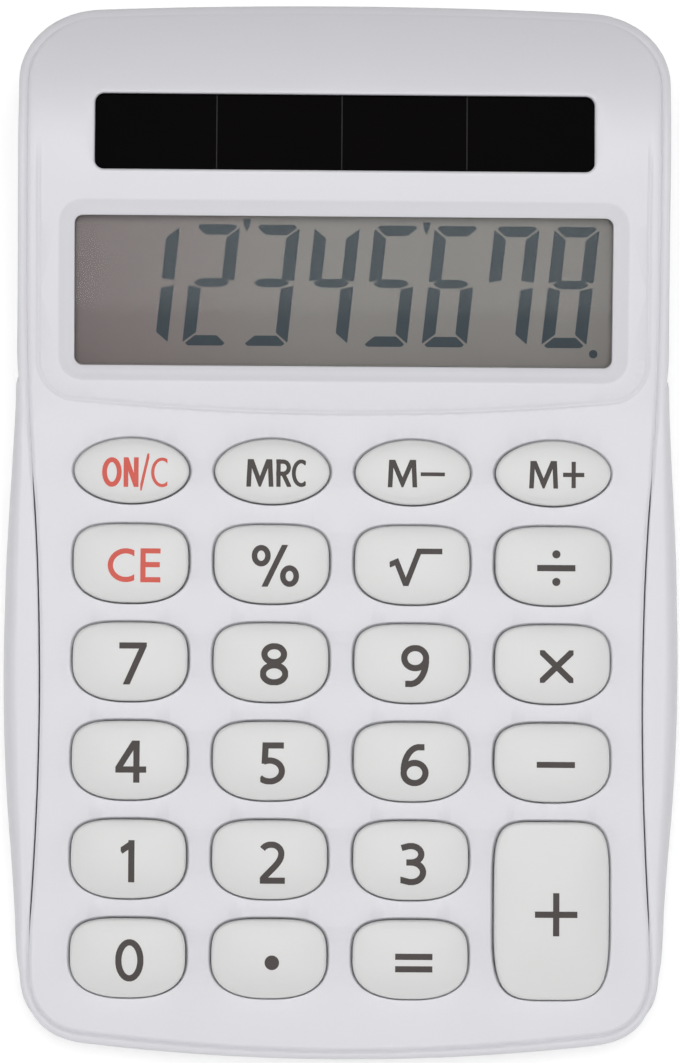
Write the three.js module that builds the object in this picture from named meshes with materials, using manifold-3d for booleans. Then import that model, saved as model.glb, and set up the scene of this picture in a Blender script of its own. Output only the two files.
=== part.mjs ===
// Solar desktop calculator: a waisted front housing over a rear case with side grips, 23 push
// keys on a silicone dome mat, a circuit board, a liquid-crystal display and a solar panel.
// Millimetres. X points right, Y from the user's edge to the display end, Z up. Everything is
// built with the front edge at Y = 0, then moved so that the origin lies under its middle.

import * as THREE from "three";
import { mergeVertices } from "three/addons/utils/BufferGeometryUtils.js";
import Module from "manifold-3d";

const wasm = await Module();
wasm.setup();

// Angles
const degree = Math.PI / 180;
const keyboardSlope = 4.5 * degree;
const displaySlope = 12 * degree;
const rollTurn = 39 * degree;

// Keys
const columnPitch = 15.1;
const rowPitch = 10.55;
const topRowPitch = 9.97;
const firstRow = 10.6;
const keyWidth = 12.3;
const keyDepth = 8.42;
const ellipseDepth = 6.95;
const keyGap = 0.25;
const keyEdgeHeight = 0.9;
const keyCrown = 0.6;
const keyTravel = 0.8;
const flangeReach = 0.5;
const flangeThickness = 0.8;
const flangeClearance = 0.15;

// Front housing
const wall = 1.6;
const sideMargin = 3.83;
const footFlare = 1.42;
const displaySideMargin = 6.15;
const footCorner = 6;
const headCorner = 8.5;
const frontBow = 0.9;
const backBow = 0.5;
const waistEdge = 0.3;
const footEdge = 0.85;
const headEdge = 1.1;
const displayGap = 6.94;
const rollRadius = 29;

// Display
const windowWidth = 57.8;
const windowDepth = 16.1;
const windowCorner = 0.9;
const windowMargin = 4.5;
const windowToRoll = 4.45;
const bezelWidth = 1.5;
const bezelDepth = 0.7;
const lensClearance = 0.15;
const lensFlange = 1.3;
const lensThickness = 0.75;
const filmGap = 0.1;
const filmThickness = 0.2;
const reflectorThickness = 0.25;
const glassThickness = 0.7;
const glassBorder = 1.5;
const contactLedge = 2.6;
const zebraThickness = 1.6;

// Solar panel
const solarWidth = 53.5;
const solarDepth = 8.2;
const solarCorner = 1;
const solarAlongRoll = 4.62;
const solarBorder = 1.3;
const solarRecess = 1.3;
const solarThickness = 1.1;
const pocketClearance = 0.3;
const leadDiameter = 0.9;
const leadSpacing = 4.5;

// Mat, board and what the board carries
const seatGap = 0.1;
const domeReserve = 0.7;
const domeRadius = 3.5;
const domeTopRadius = 2.2;
const domeWall = 0.45;
const matThickness = 0.6;
const matBorder = 0.45;
const boardThickness = 1;
const boardClearance = 0.3;
const boardFrontEdge = 2.8;
const boardTail = 8.3;
const blobRadius = 4.5;
const blobHeight = 1.4;
const capacitorRadius = 2.5;
const capacitorLength = 6;
const capacitorChamfer = 0.5;
const diodeRadius = 0.95;
const diodeLength = 3.6;
const diodeChamfer = 0.25;

// Rear case
const standHeight = 1;
const floorThickness = 1.6;
const frontTray = 3.1;
const backTray = 8;
const seamGap = 0.3;
const bottomEdge = 1.4;
const gripDepth = 3.89;
const gripDrop = 0.3;
const leastGrip = 0.35;

// Feet
const footRadius = 4;
const footThickness = 1.6;
const footChamfer = 0.4;
const footSeatClearance = 0.15;
const footInsetX = 9.5;
const footInsetFront = 13;
const footInsetBack = 15;

// Screws and what they hold
const bossRadius = 2;
const pillarRadius = 2.7;
const counterboreDepth = 1.5;
const caseScrewRadius = 1;
const caseScrewHeadRadius = 1.85;
const caseScrewHeadHeight = 1.3;
const caseScrewReach = 4.2;
const boardScrewRadius = 0.9;
const boardScrewHeadRadius = 1.7;
const boardScrewHeadHeight = 0.85;
const boardScrewReach = 2.2;
const pilotEnd = 0.4;
const screwClearance = 0.12;
const cornerScrewInset = 4.95;
const cornerScrewFront = 5.3;
const cornerScrewBack = 6.5;
const middleScrewInset = 4.45;
const boardScrewFront = 4.5;

// Overrun of every cutting solid past what it cuts, and of an edge's rounding past the surface
const overrun = 3;
const edgeOverrun = 0.1;

// Places worked out from the sizes
const columns = [-1.5, -0.5, 0.5, 1.5].map((step) => step * columnPitch);
const rows = [0, 1, 2, 3, 4].map((step) => firstRow + step * rowPitch);
rows.push(rows[4] + topRowPitch);
const keyboardEnd = rows[5] + displayGap;
const waistHalf = columns[3] + keyWidth / 2 + sideMargin;
const footHalf = waistHalf + footFlare;
const headHalf = windowWidth / 2 + displaySideMargin;
const gripHalf = waistHalf + gripDepth;
const capTop = keyEdgeHeight + keyCrown;
const flangeTop = -(wall + flangeClearance);
const flangeBottom = flangeTop - flangeThickness;
const domeTop = flangeBottom - seatGap;
const domeHeight = keyTravel + domeReserve;
const matTop = domeTop - domeHeight;
const matBottom = matTop - matThickness;
const boardTop = matBottom - seatGap;
const boardBottom = boardTop - boardThickness;
const floorTop = standHeight + floorThickness;
const frontHeight = floorTop + boardScrewHeadHeight + seatGap - boardBottom;
const displayStart = keyboardEnd * Math.cos(keyboardSlope);
const displayStartHeight = frontHeight + keyboardEnd * Math.sin(keyboardSlope);
const facetLength = windowMargin + windowDepth + windowToRoll;
const rollStart = displayStart + facetLength * Math.cos(displaySlope);
const rollStartHeight = displayStartHeight + facetLength * Math.sin(displaySlope);
const rollCentreY = rollStart + rollRadius * Math.sin(displaySlope);
const rollCentreZ = rollStartHeight - rollRadius * Math.cos(displaySlope);
const caseLength = rollCentreY + rollRadius * Math.sin(rollTurn - displaySlope);
const crestHeight = rollCentreZ + rollRadius;
const solarAngle = displaySlope - solarAlongRoll / rollRadius;
const seamFront = standHeight + frontTray;
const seamBack = standHeight + backTray;

// Frames that the keyboard, the display and the solar panel lie in, each with Z along its normal
const calculator = new THREE.Group();
calculator.position.y = -caseLength / 2;

function tiltedFrame(y, z, slope) {
  const frame = new THREE.Group();
  frame.position.set(0, y, z);
  frame.rotation.x = slope;
  frame.updateMatrix();
  calculator.add(frame);
  return frame;
}

const keyboard = tiltedFrame(0, frontHeight, keyboardSlope);
const display = tiltedFrame(displayStart, displayStartHeight, displaySlope);
const solarY = rollCentreY - rollRadius * Math.sin(solarAngle);
const solarZ = rollCentreZ + rollRadius * Math.cos(solarAngle);
const solar = tiltedFrame(solarY, solarZ, solarAngle);

// Finishes
function finish(color, roughness, metalness = 0) {
  return new THREE.MeshStandardMaterial({ color, roughness, metalness });
}

const whiteShell = finish(0xe0e1e5, 0.45);
const whiteKey = finish(0xdedede, 0.4);
const clearWindow = finish(0xd8dcdc, 0.08);
const displayGrey = finish(0x83807c, 0.25);
const glassEdge = finish(0xc4d0cc, 0.1);
const reflectorFoil = finish(0xa8a8a4, 0.4, 0.5);
const solarBlack = finish(0x0a0a0c, 0.15);
const matGrey = finish(0xb8bcc0, 0.7);
const boardBrown = finish(0x9c6b3c, 0.6);
const resinBlack = finish(0x151515, 0.35);
const sleeveBlue = finish(0x24305c, 0.4);
const diodeRed = finish(0x8c2a1e, 0.3);
const leadRed = finish(0xb02020, 0.5);
const leadBlack = finish(0x1a1a1a, 0.5);
const stripPink = finish(0xc89a94, 0.75);
const screwSteel = finish(0xb4b6b8, 0.3, 1);
const footRubber = finish(0xcfd0d2, 0.85);

// Solids and meshes
const weldDistance = 1e-4;

function solidOf(geometry) {
  const bare = geometry.clone();
  bare.deleteAttribute("normal");
  bare.deleteAttribute("uv");
  const welded = mergeVertices(bare, weldDistance);
  return new wasm.Manifold(new wasm.Mesh({
    numProp: 3,
    vertProperties: new Float32Array(welded.getAttribute("position").array),
    triVerts: new Uint32Array(welded.getIndex().array),
  }));
}

function geometryOf(solid) {
  const mesh = solid.getMesh();
  const geometry = new THREE.BufferGeometry();
  geometry.setAttribute("position", new THREE.BufferAttribute(mesh.vertProperties, 3));
  geometry.setIndex(new THREE.BufferAttribute(mesh.triVerts, 1));
  geometry.computeVertexNormals();
  return geometry;
}

function addPiece(name, geometry, material, parent = calculator) {
  const mesh = new THREE.Mesh(geometry, material);
  mesh.name = name;
  parent.add(mesh);
  return mesh;
}

// Joins closed rings of points, listed from the lowest up and each counterclockwise from above
function loft(rings) {
  const count = rings[0].length;
  const positions = rings.flat().flatMap((point) => [point.x, point.y, point.z]);
  const faces = [];
  for (let ring = 0; ring + 1 < rings.length; ring += 1) {
    for (let corner = 0; corner < count; corner += 1) {
      const next = (corner + 1) % count;
      const low = ring * count;
      const high = low + count;
      faces.push(low + corner, low + next, high + next);
      faces.push(low + corner, high + next, high + corner);
    }
  }
  const top = (rings.length - 1) * count;
  for (const triangle of THREE.ShapeUtils.triangulateShape(rings[0], [])) {
    const [a, b, c] = turnedLeft(triangle, rings[0]);
    faces.push(c, b, a);
  }
  for (const triangle of THREE.ShapeUtils.triangulateShape(rings[rings.length - 1], [])) {
    const [a, b, c] = turnedLeft(triangle, rings[rings.length - 1]);
    faces.push(top + a, top + b, top + c);
  }
  const geometry = new THREE.BufferGeometry();
  geometry.setAttribute("position", new THREE.Float32BufferAttribute(positions, 3));
  geometry.setIndex(faces);
  geometry.computeVertexNormals();
  return geometry;
}

function turnedLeft([a, b, c], points) {
  const left = THREE.ShapeUtils.area([points[a], points[b], points[c]]) > 0;
  return left ? [a, b, c] : [a, c, b];
}

function prism(outline, low, high) {
  const shape = new THREE.Shape(outline);
  const geometry = new THREE.ExtrudeGeometry(shape, { depth: high - low, bevelEnabled: false });
  return geometry.translate(0, 0, low);
}

// Turned solid about Z from a list of [radius, height] pairs that starts and ends on the axis
function turned(profile, sides) {
  const points = profile.map(([radius, height]) => new THREE.Vector2(radius, height));
  return new THREE.LatheGeometry(points, sides).rotateX(Math.PI / 2);
}

function rod(radius, low, high, sides, x = 0, y = 0) {
  return turned([[0, low], [radius, low], [radius, high], [0, high]], sides).translate(x, y, 0);
}

function roundedRectangle(width, depth, corner, steps) {
  const outline = [];
  const centres = [[1, -1], [1, 1], [-1, 1], [-1, -1]];
  centres.forEach(([sideX, sideY], quarter) => {
    for (let step = 0; step <= steps; step += 1) {
      const angle = (quarter - 1 + step / steps) * Math.PI / 2;
      outline.push(new THREE.Vector2(
        sideX * (width / 2 - corner) + corner * Math.cos(angle),
        sideY * (depth / 2 - corner) + corner * Math.sin(angle),
      ));
    }
  });
  return outline;
}

function raised(outline, height) {
  return outline.map((point) => new THREE.Vector3(point.x, point.y, height));
}

// Height of the housing's top surface, and the same surface pushed inwards by a depth
function surfacePoint(y) {
  if (y <= displayStart) {
    return { z: frontHeight + y * Math.tan(keyboardSlope), angle: keyboardSlope };
  }
  if (y <= rollStart) {
    return {
      z: displayStartHeight + (y - displayStart) * Math.tan(displaySlope),
      angle: displaySlope,
    };
  }
  const lean = Math.min((y - rollCentreY) / rollRadius, Math.sin(rollTurn));
  const angle = -Math.asin(lean);
  return { z: rollCentreZ + rollRadius * Math.cos(angle), angle };
}

function topHeight(y) {
  return surfacePoint(y).z;
}

function seamHeight(y) {
  return seamFront + (seamBack - seamFront) * y / caseLength;
}

function profileSolid(depth) {
  const rollSteps = 12;
  const meanSlope = (keyboardSlope + displaySlope) / 2;
  const line = [];
  const addPoint = (y, z, angle) => {
    line.push(new THREE.Vector2(y + depth * Math.sin(angle), z - depth * Math.cos(angle)));
  };
  addPoint(-overrun, frontHeight - overrun * Math.tan(keyboardSlope), keyboardSlope);
  addPoint(displayStart, displayStartHeight, meanSlope);
  for (let step = 0; step <= rollSteps; step += 1) {
    const angle = displaySlope - rollTurn * step / rollSteps;
    const y = rollCentreY - rollRadius * Math.sin(angle);
    addPoint(y, rollCentreZ + rollRadius * Math.cos(angle), angle);
  }
  const lastAngle = displaySlope - rollTurn;
  const last = line[line.length - 1];
  line.push(new THREE.Vector2(last.x + overrun, last.y + overrun * Math.tan(lastAngle)));
  const outline = [
    ...line,
    new THREE.Vector2(caseLength + overrun, -overrun),
    new THREE.Vector2(-overrun, -overrun),
  ];
  const geometry = new THREE.ExtrudeGeometry(new THREE.Shape(outline), {
    depth: gripHalf * 2 + overrun * 2,
    bevelEnabled: false,
  });
  geometry.translate(0, 0, -(gripHalf + overrun));
  const cycle = new THREE.Matrix4().makeBasis(
    new THREE.Vector3(0, 1, 0),
    new THREE.Vector3(0, 0, 1),
    new THREE.Vector3(1, 0, 0),
  );
  return solidOf(geometry.applyMatrix4(cycle));
}

// Plan outline. Each row gives a place along the side as a share of the keyboard's length, how
// far the housing has widened from its waist towards its end, and how far the grip bulges out.
const sideShares = [
  [0.165, 0.965, 0.18],
  [0.2, 0.845, 0.28],
  [0.235, 0.7, 0.375],
  [0.305, 0.375, 0.54],
  [0.385, 0.15, 0.74],
  [0.46, 0.03, 0.87],
  [0.54, 0, 0.96],
  [0.62, 0.025, 1],
  [0.7, 0.09, 0.965],
  [0.775, 0.21, 0.89],
  [0.85, 0.365, 0.745],
  [0.93, 0.61, 0.48],
  [0.97, 0.76, 0.31],
  [1, 0.865, 0.19],
  [1.08, 0.985, 0.02],
  [1.15, 1, 0],
];
const waistShare = 0.58;
const bezierShare = 0.5523;
const bowSteps = 3;
const cornerSteps = 5;
const headSteps = 3;

// The corner and bowed end from the middle of the case's end to the start of its side
function endCurve(half, corner, bow) {
  const start = half - corner;
  const bowCurve = new THREE.QuadraticBezierCurve(
    new THREE.Vector2(0, 0),
    new THREE.Vector2(start / 2, 0),
    new THREE.Vector2(start, bow),
  );
  const cornerCurve = new THREE.CubicBezierCurve(
    new THREE.Vector2(start, bow),
    new THREE.Vector2(start + bezierShare * corner, bow + bezierShare * corner * 2 * bow / start),
    new THREE.Vector2(half, bow + corner - bezierShare * corner),
    new THREE.Vector2(half, bow + corner),
  );
  return [...bowCurve.getPoints(bowSteps), ...cornerCurve.getPoints(cornerSteps).slice(1)];
}

function rightSide() {
  const front = endCurve(footHalf, footCorner, frontBow).map((point) => (
    { cover: point, shell: point.clone(), widening: 1, end: footEdge }
  ));
  const side = sideShares.map(([share, widening, bulge]) => {
    const y = share * displayStart;
    const front = share < waistShare;
    const endHalf = front ? footHalf : headHalf;
    const coverHalf = waistHalf + (endHalf - waistHalf) * widening;
    const shellHalf = endHalf + (gripHalf - endHalf) * bulge;
    return {
      cover: new THREE.Vector2(coverHalf, y),
      shell: new THREE.Vector2(shellHalf, y),
      widening,
      end: front ? footEdge : headEdge,
    };
  });
  const headEnd = caseLength - backBow - headCorner;
  const head = Array.from({ length: headSteps }, (_, step) => (
    new THREE.Vector2(headHalf, rollStart + (headEnd - rollStart) * step / headSteps)
  ));
  const back = endCurve(headHalf, headCorner, backBow).reverse().map((point) => (
    new THREE.Vector2(point.x, caseLength - point.y)
  ));
  const plain = [...head, ...back].map((place) => (
    { cover: place, shell: place.clone(), widening: 1, end: headEdge }
  ));
  return [...front, ...side, ...plain];
}

function wholeOutline() {
  const right = rightSide();
  const left = right.slice(1, -1).reverse().map((station) => ({
    ...station,
    cover: new THREE.Vector2(-station.cover.x, station.cover.y),
    shell: new THREE.Vector2(-station.shell.x, station.shell.y),
  }));
  const outline = [...right, ...left];
  for (const line of ["cover", "shell"]) {
    outline.forEach((station, index) => {
      const before = outline[(index + outline.length - 1) % outline.length][line];
      const after = outline[(index + 1) % outline.length][line];
      const along = after.clone().sub(before).normalize();
      station[`${line}Normal`] = new THREE.Vector2(along.y, -along.x);
    });
  }
  for (const station of outline) {
    station.edge = waistEdge + (station.end - waistEdge) * station.widening ** 2;
    station.grip = station.shell.distanceTo(station.cover);
  }
  return outline;
}

const outline = wholeOutline();

function ringOf(line, inset, height) {
  return outline.map((station) => {
    const normal = station[`${line}Normal`];
    const step = typeof inset === "function" ? inset(station) : inset;
    const x = station[line].x - normal.x * step;
    const y = station[line].y - normal.y * step;
    return new THREE.Vector3(x, y, height(y, station));
  });
}

function aboveAll() {
  return crestHeight + overrun;
}

// Inset of an edge's middle ring, half way round its quarter circle
const rounding = 1 - Math.SQRT1_2;

// Front housing
const windowSteps = 3;
const keyShapes = {
  rounded: { width: keyWidth, depth: keyDepth, upper: 3.6, lower: 2.5 },
  ellipse: { width: keyWidth, depth: ellipseDepth, upper: 2, lower: 2 },
  tall: { width: keyWidth, depth: keyDepth + rowPitch, upper: 5.5, lower: 4.2 },
};

const keyPlan = [
  ["key_0", 0, 0], ["key_point", 1, 0], ["key_equals", 2, 0],
  ["key_1", 0, 1], ["key_2", 1, 1], ["key_3", 2, 1],
  ["key_4", 0, 2], ["key_5", 1, 2], ["key_6", 2, 2], ["key_minus", 3, 2],
  ["key_7", 0, 3], ["key_8", 1, 3], ["key_9", 2, 3], ["key_multiply", 3, 3],
  ["key_clear_entry", 0, 4], ["key_percent", 1, 4], ["key_root", 2, 4], ["key_divide", 3, 4],
  ["key_on_clear", 0, 5], ["key_memory_recall", 1, 5], ["key_memory_minus", 2, 5],
  ["key_memory_plus", 3, 5],
];

const keys = keyPlan.map(([name, column, row]) => ({
  name,
  shape: keyShapes[row === 5 ? "ellipse" : "rounded"],
  x: columns[column],
  y: rows[row],
}));
keys.push({ name: "key_plus", shape: keyShapes.tall, x: columns[3], y: (rows[0] + rows[1]) / 2 });

// Superellipse whose exponent differs above and below the key's middle
const keySides = 16;

function keyOutline(shape, growth) {
  const signedPower = (value, power) => Math.sign(value) * Math.abs(value) ** power;
  return Array.from({ length: keySides }, (_, corner) => {
    const angle = 2 * Math.PI * corner / keySides;
    const power = 2 / (Math.sin(angle) >= 0 ? shape.upper : shape.lower);
    return new THREE.Vector2(
      (shape.width / 2 + growth) * signedPower(Math.cos(angle), power),
      (shape.depth / 2 + growth) * signedPower(Math.sin(angle), power),
    );
  });
}

const bossSides = 10;
const caseScrewPlaces = [-1, 1].flatMap((side) => [
  { x: side * (footHalf - cornerScrewInset), y: cornerScrewFront },
  { x: side * (headHalf - middleScrewInset), y: displayStart },
  { x: side * (headHalf - cornerScrewInset), y: caseLength - cornerScrewBack },
]);
const boardScrewPlaces = [-1, 1].flatMap((side) => [
  { x: side * columnPitch, y: boardScrewFront },
  { x: side * columnPitch, y: keyboardEnd },
]);
const pillarTop = seamFront - seamGap;
const caseBossBottom = pillarTop + seatGap;
const caseScrewSeat = standHeight + counterboreDepth;
const caseScrewTip = caseBossBottom + caseScrewReach;
const boardBossBottom = boardTop + seatGap;
const boardScrewTip = boardBossBottom + boardScrewReach;

function housing() {
  const outer = solidOf(loft([
    ringOf("cover", 0, (y) => seamHeight(y)),
    ringOf("cover", 0, (y, station) => topHeight(y) - station.edge),
    ringOf("cover", (station) => station.edge * rounding,
      (y, station) => topHeight(y) - station.edge * rounding),
    ringOf("cover", (station) => station.edge, (y) => topHeight(y) + edgeOverrun),
    ringOf("cover", (station) => station.edge, aboveAll),
  ])).intersect(profileSolid(0));
  const hollow = solidOf(loft([
    ringOf("cover", wall, (y) => seamHeight(y) - overrun),
    ringOf("cover", wall, aboveAll),
  ])).intersect(profileSolid(wall));
  let solid = outer.subtract(hollow);
  solid = solid.subtract(solidOf(windowCutter().applyMatrix4(display.matrix)));
  solid = solid.subtract(solidOf(prism(
    roundedRectangle(solarWidth, solarDepth, solarCorner, windowSteps), -(wall + overrun), overrun,
  ).applyMatrix4(solar.matrix)));
  solid = solid.subtract(solidOf(prism(
    roundedRectangle(
      solarWidth + 2 * (solarBorder + pocketClearance),
      solarDepth + 2 * (solarBorder + pocketClearance), pocketClearance, 1,
    ), -(solarRecess + solarThickness + overrun), -(solarRecess - seatGap),
  ).applyMatrix4(solar.matrix)));
  for (const key of keys) {
    const cutter = prism(keyOutline(key.shape, keyGap), -(wall + overrun), overrun);
    cutter.translate(key.x, key.y, 0).applyMatrix4(keyboard.matrix);
    solid = solid.subtract(solidOf(cutter));
  }
  for (const { x, y } of caseScrewPlaces) {
    const rootHeight = topHeight(y) - wall / 2;
    solid = solid.add(solidOf(rod(bossRadius, caseBossBottom, rootHeight, bossSides, x, y)));
    solid = solid.subtract(solidOf(rod(
      caseScrewRadius + screwClearance, caseBossBottom - overrun, caseScrewTip + pilotEnd,
      bossSides, x, y,
    )));
  }
  for (const { x, y } of boardScrewPlaces) {
    const boss = rod(bossRadius, boardBossBottom, -wall / 2, bossSides, x, y);
    const pilot = rod(
      boardScrewRadius + screwClearance, boardBossBottom - overrun, boardScrewTip + pilotEnd,
      bossSides, x, y,
    );
    solid = solid.add(solidOf(boss.applyMatrix4(keyboard.matrix)));
    solid = solid.subtract(solidOf(pilot.applyMatrix4(keyboard.matrix)));
  }
  return geometryOf(solid);
}

// Display window with the sloping rim round it, in the display's frame
const windowMiddle = windowMargin + windowDepth / 2;

function windowCutter() {
  const growth = bezelWidth * (1 + overrun / bezelDepth);
  const opening = roundedRectangle(windowWidth, windowDepth, windowCorner, windowSteps);
  const above = roundedRectangle(
    windowWidth + 2 * growth, windowDepth + 2 * growth, windowCorner + growth, windowSteps,
  );
  return loft([
    raised(opening, -(wall + overrun)),
    raised(opening, -bezelDepth),
    raised(above, overrun),
  ]).translate(0, windowMiddle, 0);
}

addPiece("top_cover", housing(), whiteShell);

// Keys: a flange under the housing, a body through its opening and a crowned top
const crownShare = 0.62;

function keyCap(shape) {
  const crown = keyOutline(shape, 0).map((point) => point.multiplyScalar(crownShare));
  return loft([
    raised(keyOutline(shape, flangeReach), flangeBottom),
    raised(keyOutline(shape, flangeReach), flangeTop),
    raised(keyOutline(shape, 0), flangeTop),
    raised(keyOutline(shape, 0), keyEdgeHeight),
    raised(crown, capTop),
  ]);
}

for (const key of keys) {
  addPiece(key.name, keyCap(key.shape), whiteKey, keyboard).position.set(key.x, key.y, 0);
}

// Silicone mat with one hollow dome under each key, open towards the board
const domeSides = 8;

function keyMat() {
  const halfWidth = columns[3] + domeRadius + matBorder;
  const low = rows[0] - domeRadius - matBorder;
  const high = rows[5] + domeRadius + matBorder;
  const sheet = roundedRectangle(halfWidth * 2, high - low, domeRadius, windowSteps);
  let solid = solidOf(prism(sheet, matBottom, matTop).translate(0, (low + high) / 2, 0));
  for (const { x, y } of keys) {
    const dome = turned([
      [0, matBottom + matThickness / 2], [domeRadius, matBottom + matThickness / 2],
      [domeRadius, matTop], [domeTopRadius, domeTop], [0, domeTop],
    ], domeSides);
    solid = solid.add(solidOf(dome.translate(x, y, 0)));
  }
  for (const { x, y } of keys) {
    const inner = turned([
      [0, matBottom - overrun], [domeRadius - domeWall, matBottom - overrun],
      [domeRadius - domeWall, matTop], [domeTopRadius - domeWall, domeTop - 2 * domeWall],
      [0, domeTop - 2 * domeWall],
    ], domeSides);
    solid = solid.subtract(solidOf(inner.translate(x, y, 0)));
  }
  return geometryOf(solid);
}

addPiece("key_mat", keyMat(), matGrey, keyboard);

// Circuit board under the mat, held to the housing by four screws
const boardHalf = footHalf - cornerScrewInset - pillarRadius - boardClearance;
const boardEnd = keyboardEnd + boardTail;
const boardMiddle = (boardFrontEdge + boardEnd) / 2;

function circuitBoard() {
  const plate = roundedRectangle(
    boardHalf * 2, boardEnd - boardFrontEdge, boardThickness, 2,
  ).map((point) => new THREE.Vector2(point.x, point.y + boardMiddle));
  const shape = new THREE.Shape(plate);
  for (const { x, y } of boardScrewPlaces) {
    const hole = new THREE.Path();
    hole.absarc(x, y, boardScrewRadius + screwClearance, 0, 2 * Math.PI, true);
    shape.holes.push(hole);
  }
  const options = { depth: boardThickness, bevelEnabled: false, curveSegments: 5 };
  return new THREE.ExtrudeGeometry(shape, options).translate(0, 0, boardBottom);
}

addPiece("circuit_board", circuitBoard(), boardBrown, keyboard);

function boardScrew() {
  const headTop = boardBottom - seatGap;
  return turned([
    [0, headTop - boardScrewHeadHeight],
    [boardScrewHeadRadius * Math.SQRT1_2, headTop - boardScrewHeadHeight],
    [boardScrewHeadRadius, headTop - boardScrewHeadHeight / 2],
    [boardScrewHeadRadius, headTop],
    [boardScrewRadius, headTop],
    [boardScrewRadius, boardScrewTip - boardScrewRadius],
    [0, boardScrewTip],
  ], bossSides);
}

boardScrewPlaces.forEach(({ x, y }, index) => {
  addPiece(`board_screw_${index + 1}`, boardScrew(), screwSteel, keyboard).position.set(x, y, 0);
});

// Chip under its drop of resin, storage capacitor and clamp diode, all below the board
const partsLine = rows[5];
const blobSteps = 4;
const blobProfile = Array.from({ length: blobSteps + 1 }, (_, step) => {
  const angle = step / blobSteps * Math.PI / 2;
  const height = boardBottom - seatGap - blobHeight * Math.cos(angle);
  return [blobRadius * Math.sin(angle), height];
});
blobProfile.push([0, boardBottom - seatGap]);
addPiece("chip_blob", turned(blobProfile, bossSides), resinBlack, keyboard)
  .position.set(0, partsLine, 0);

function lyingCylinder(radius, length, chamfer) {
  return turned([
    [0, -length / 2], [radius - chamfer, -length / 2], [radius, chamfer - length / 2],
    [radius, length / 2 - chamfer], [radius - chamfer, length / 2], [0, length / 2],
  ], bossSides).rotateY(Math.PI / 2);
}

addPiece(
  "storage_capacitor",
  lyingCylinder(capacitorRadius, capacitorLength, capacitorChamfer), sleeveBlue, keyboard,
).position.set(-columnPitch, partsLine, boardBottom - seatGap - capacitorRadius);
addPiece(
  "clamp_diode", lyingCylinder(diodeRadius, diodeLength, diodeChamfer), diodeRed, keyboard,
).position.set(columnPitch, partsLine, boardBottom - seatGap - diodeRadius);

// Display: clear window, polariser, two glasses and reflector stacked under each other
function plate(name, material, frame, width, near, far, top, thickness) {
  const geometry = new THREE.BoxGeometry(width, far - near, thickness);
  const mesh = addPiece(name, geometry, material, frame);
  mesh.position.set(0, (near + far) / 2, top - thickness / 2);
  return mesh;
}

const lensTop = -(wall + lensClearance);
const lensPadTop = -(bezelDepth + lensClearance);

function displayLens() {
  const pad = prism(roundedRectangle(
    windowWidth - 2 * lensClearance, windowDepth - 2 * lensClearance,
    windowCorner - lensClearance, windowSteps,
  ), lensTop - lensThickness / 2, lensPadTop);
  const flange = prism(roundedRectangle(
    windowWidth + 2 * lensFlange, windowDepth + 2 * lensFlange, windowCorner, windowSteps,
  ), lensTop - lensThickness, lensTop);
  return geometryOf(solidOf(flange).add(solidOf(pad))).translate(0, windowMiddle, 0);
}

addPiece("display_lens", displayLens(), clearWindow, display);

const glassWidth = windowWidth + 2 * glassBorder;
const glassNear = windowMargin - glassBorder;
const glassFar = windowMargin + windowDepth + glassBorder;
const polariserTop = lensTop - lensThickness - filmGap;
const frontGlassTop = polariserTop - filmThickness - filmGap;
const rearGlassTop = frontGlassTop - glassThickness - filmGap;
const reflectorTop = rearGlassTop - glassThickness - filmGap;
const rearGlassNear = glassNear + contactLedge;
const rearGlassWidth = windowWidth + glassBorder;
plate("display_polariser", displayGrey, display, windowWidth + glassBorder,
  windowMargin - glassBorder / 2, windowMargin + windowDepth + glassBorder / 2, polariserTop,
  filmThickness);
plate("display_front_glass", glassEdge, display, glassWidth, glassNear, glassFar, frontGlassTop,
  glassThickness);
plate("display_rear_glass", glassEdge, display, glassWidth, rearGlassNear, glassFar, rearGlassTop,
  glassThickness);
plate("display_reflector", reflectorFoil, display, rearGlassWidth, rearGlassNear, glassFar,
  reflectorTop, reflectorThickness);

// Rubber contact strip from the front glass's ledge down to the board
const zebraNear = glassNear + (contactLedge - zebraThickness) / 2;
const zebraTop = frontGlassTop - glassThickness - filmGap;

function boardTopUnder(y, z) {
  const place = new THREE.Vector3(0, y, z).applyMatrix4(display.matrix);
  const onKeyboard = place.applyMatrix4(keyboard.matrix.clone().invert());
  return onKeyboard.z - boardTop;
}

const zebraDrop = boardTopUnder(zebraNear, zebraTop) / Math.cos(displaySlope - keyboardSlope);
plate("zebra_strip", stripPink, display, windowWidth - 2 * glassBorder, zebraNear,
  zebraNear + zebraThickness, zebraTop, zebraDrop - 2 * seatGap);

// Solar panel and its two leads to the board
const solarPanelWidth = solarWidth + 2 * solarBorder;
const solarPanelDepth = solarDepth + 2 * solarBorder;
plate("solar_panel", solarBlack, solar, solarPanelWidth, -solarPanelDepth / 2, solarPanelDepth / 2,
  -solarRecess, solarThickness);

function lead(x) {
  const start = new THREE.Vector3(x, 0, -(solarRecess + solarThickness + seatGap));
  const leave = new THREE.Vector3(x, 0, start.z - leadDiameter * 2);
  const pad = new THREE.Vector3(x, boardEnd - leadSpacing, boardBottom - seatGap);
  const under = pad.clone().setZ(pad.z - leadDiameter * 2);
  [start, leave].forEach((point) => point.applyMatrix4(solar.matrix));
  [under, pad].forEach((point) => point.applyMatrix4(keyboard.matrix));
  const low = new THREE.Vector3(x, (leave.y + under.y) / 2, (floorTop + under.z) / 2);
  const turn = new THREE.Vector3(x, leave.y, low.z + (leave.z - low.z) / 2);
  const route = new THREE.CatmullRomCurve3([start, leave, turn, low, under, pad]);
  const section = new THREE.Shape(new THREE.Path().absarc(
    0, 0, leadDiameter / 2, 0, 2 * Math.PI, false,
  ).getSpacedPoints(6).slice(0, -1));
  const options = { steps: 14, extrudePath: route, bevelEnabled: false };
  return new THREE.ExtrudeGeometry(section, options);
}

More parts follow.
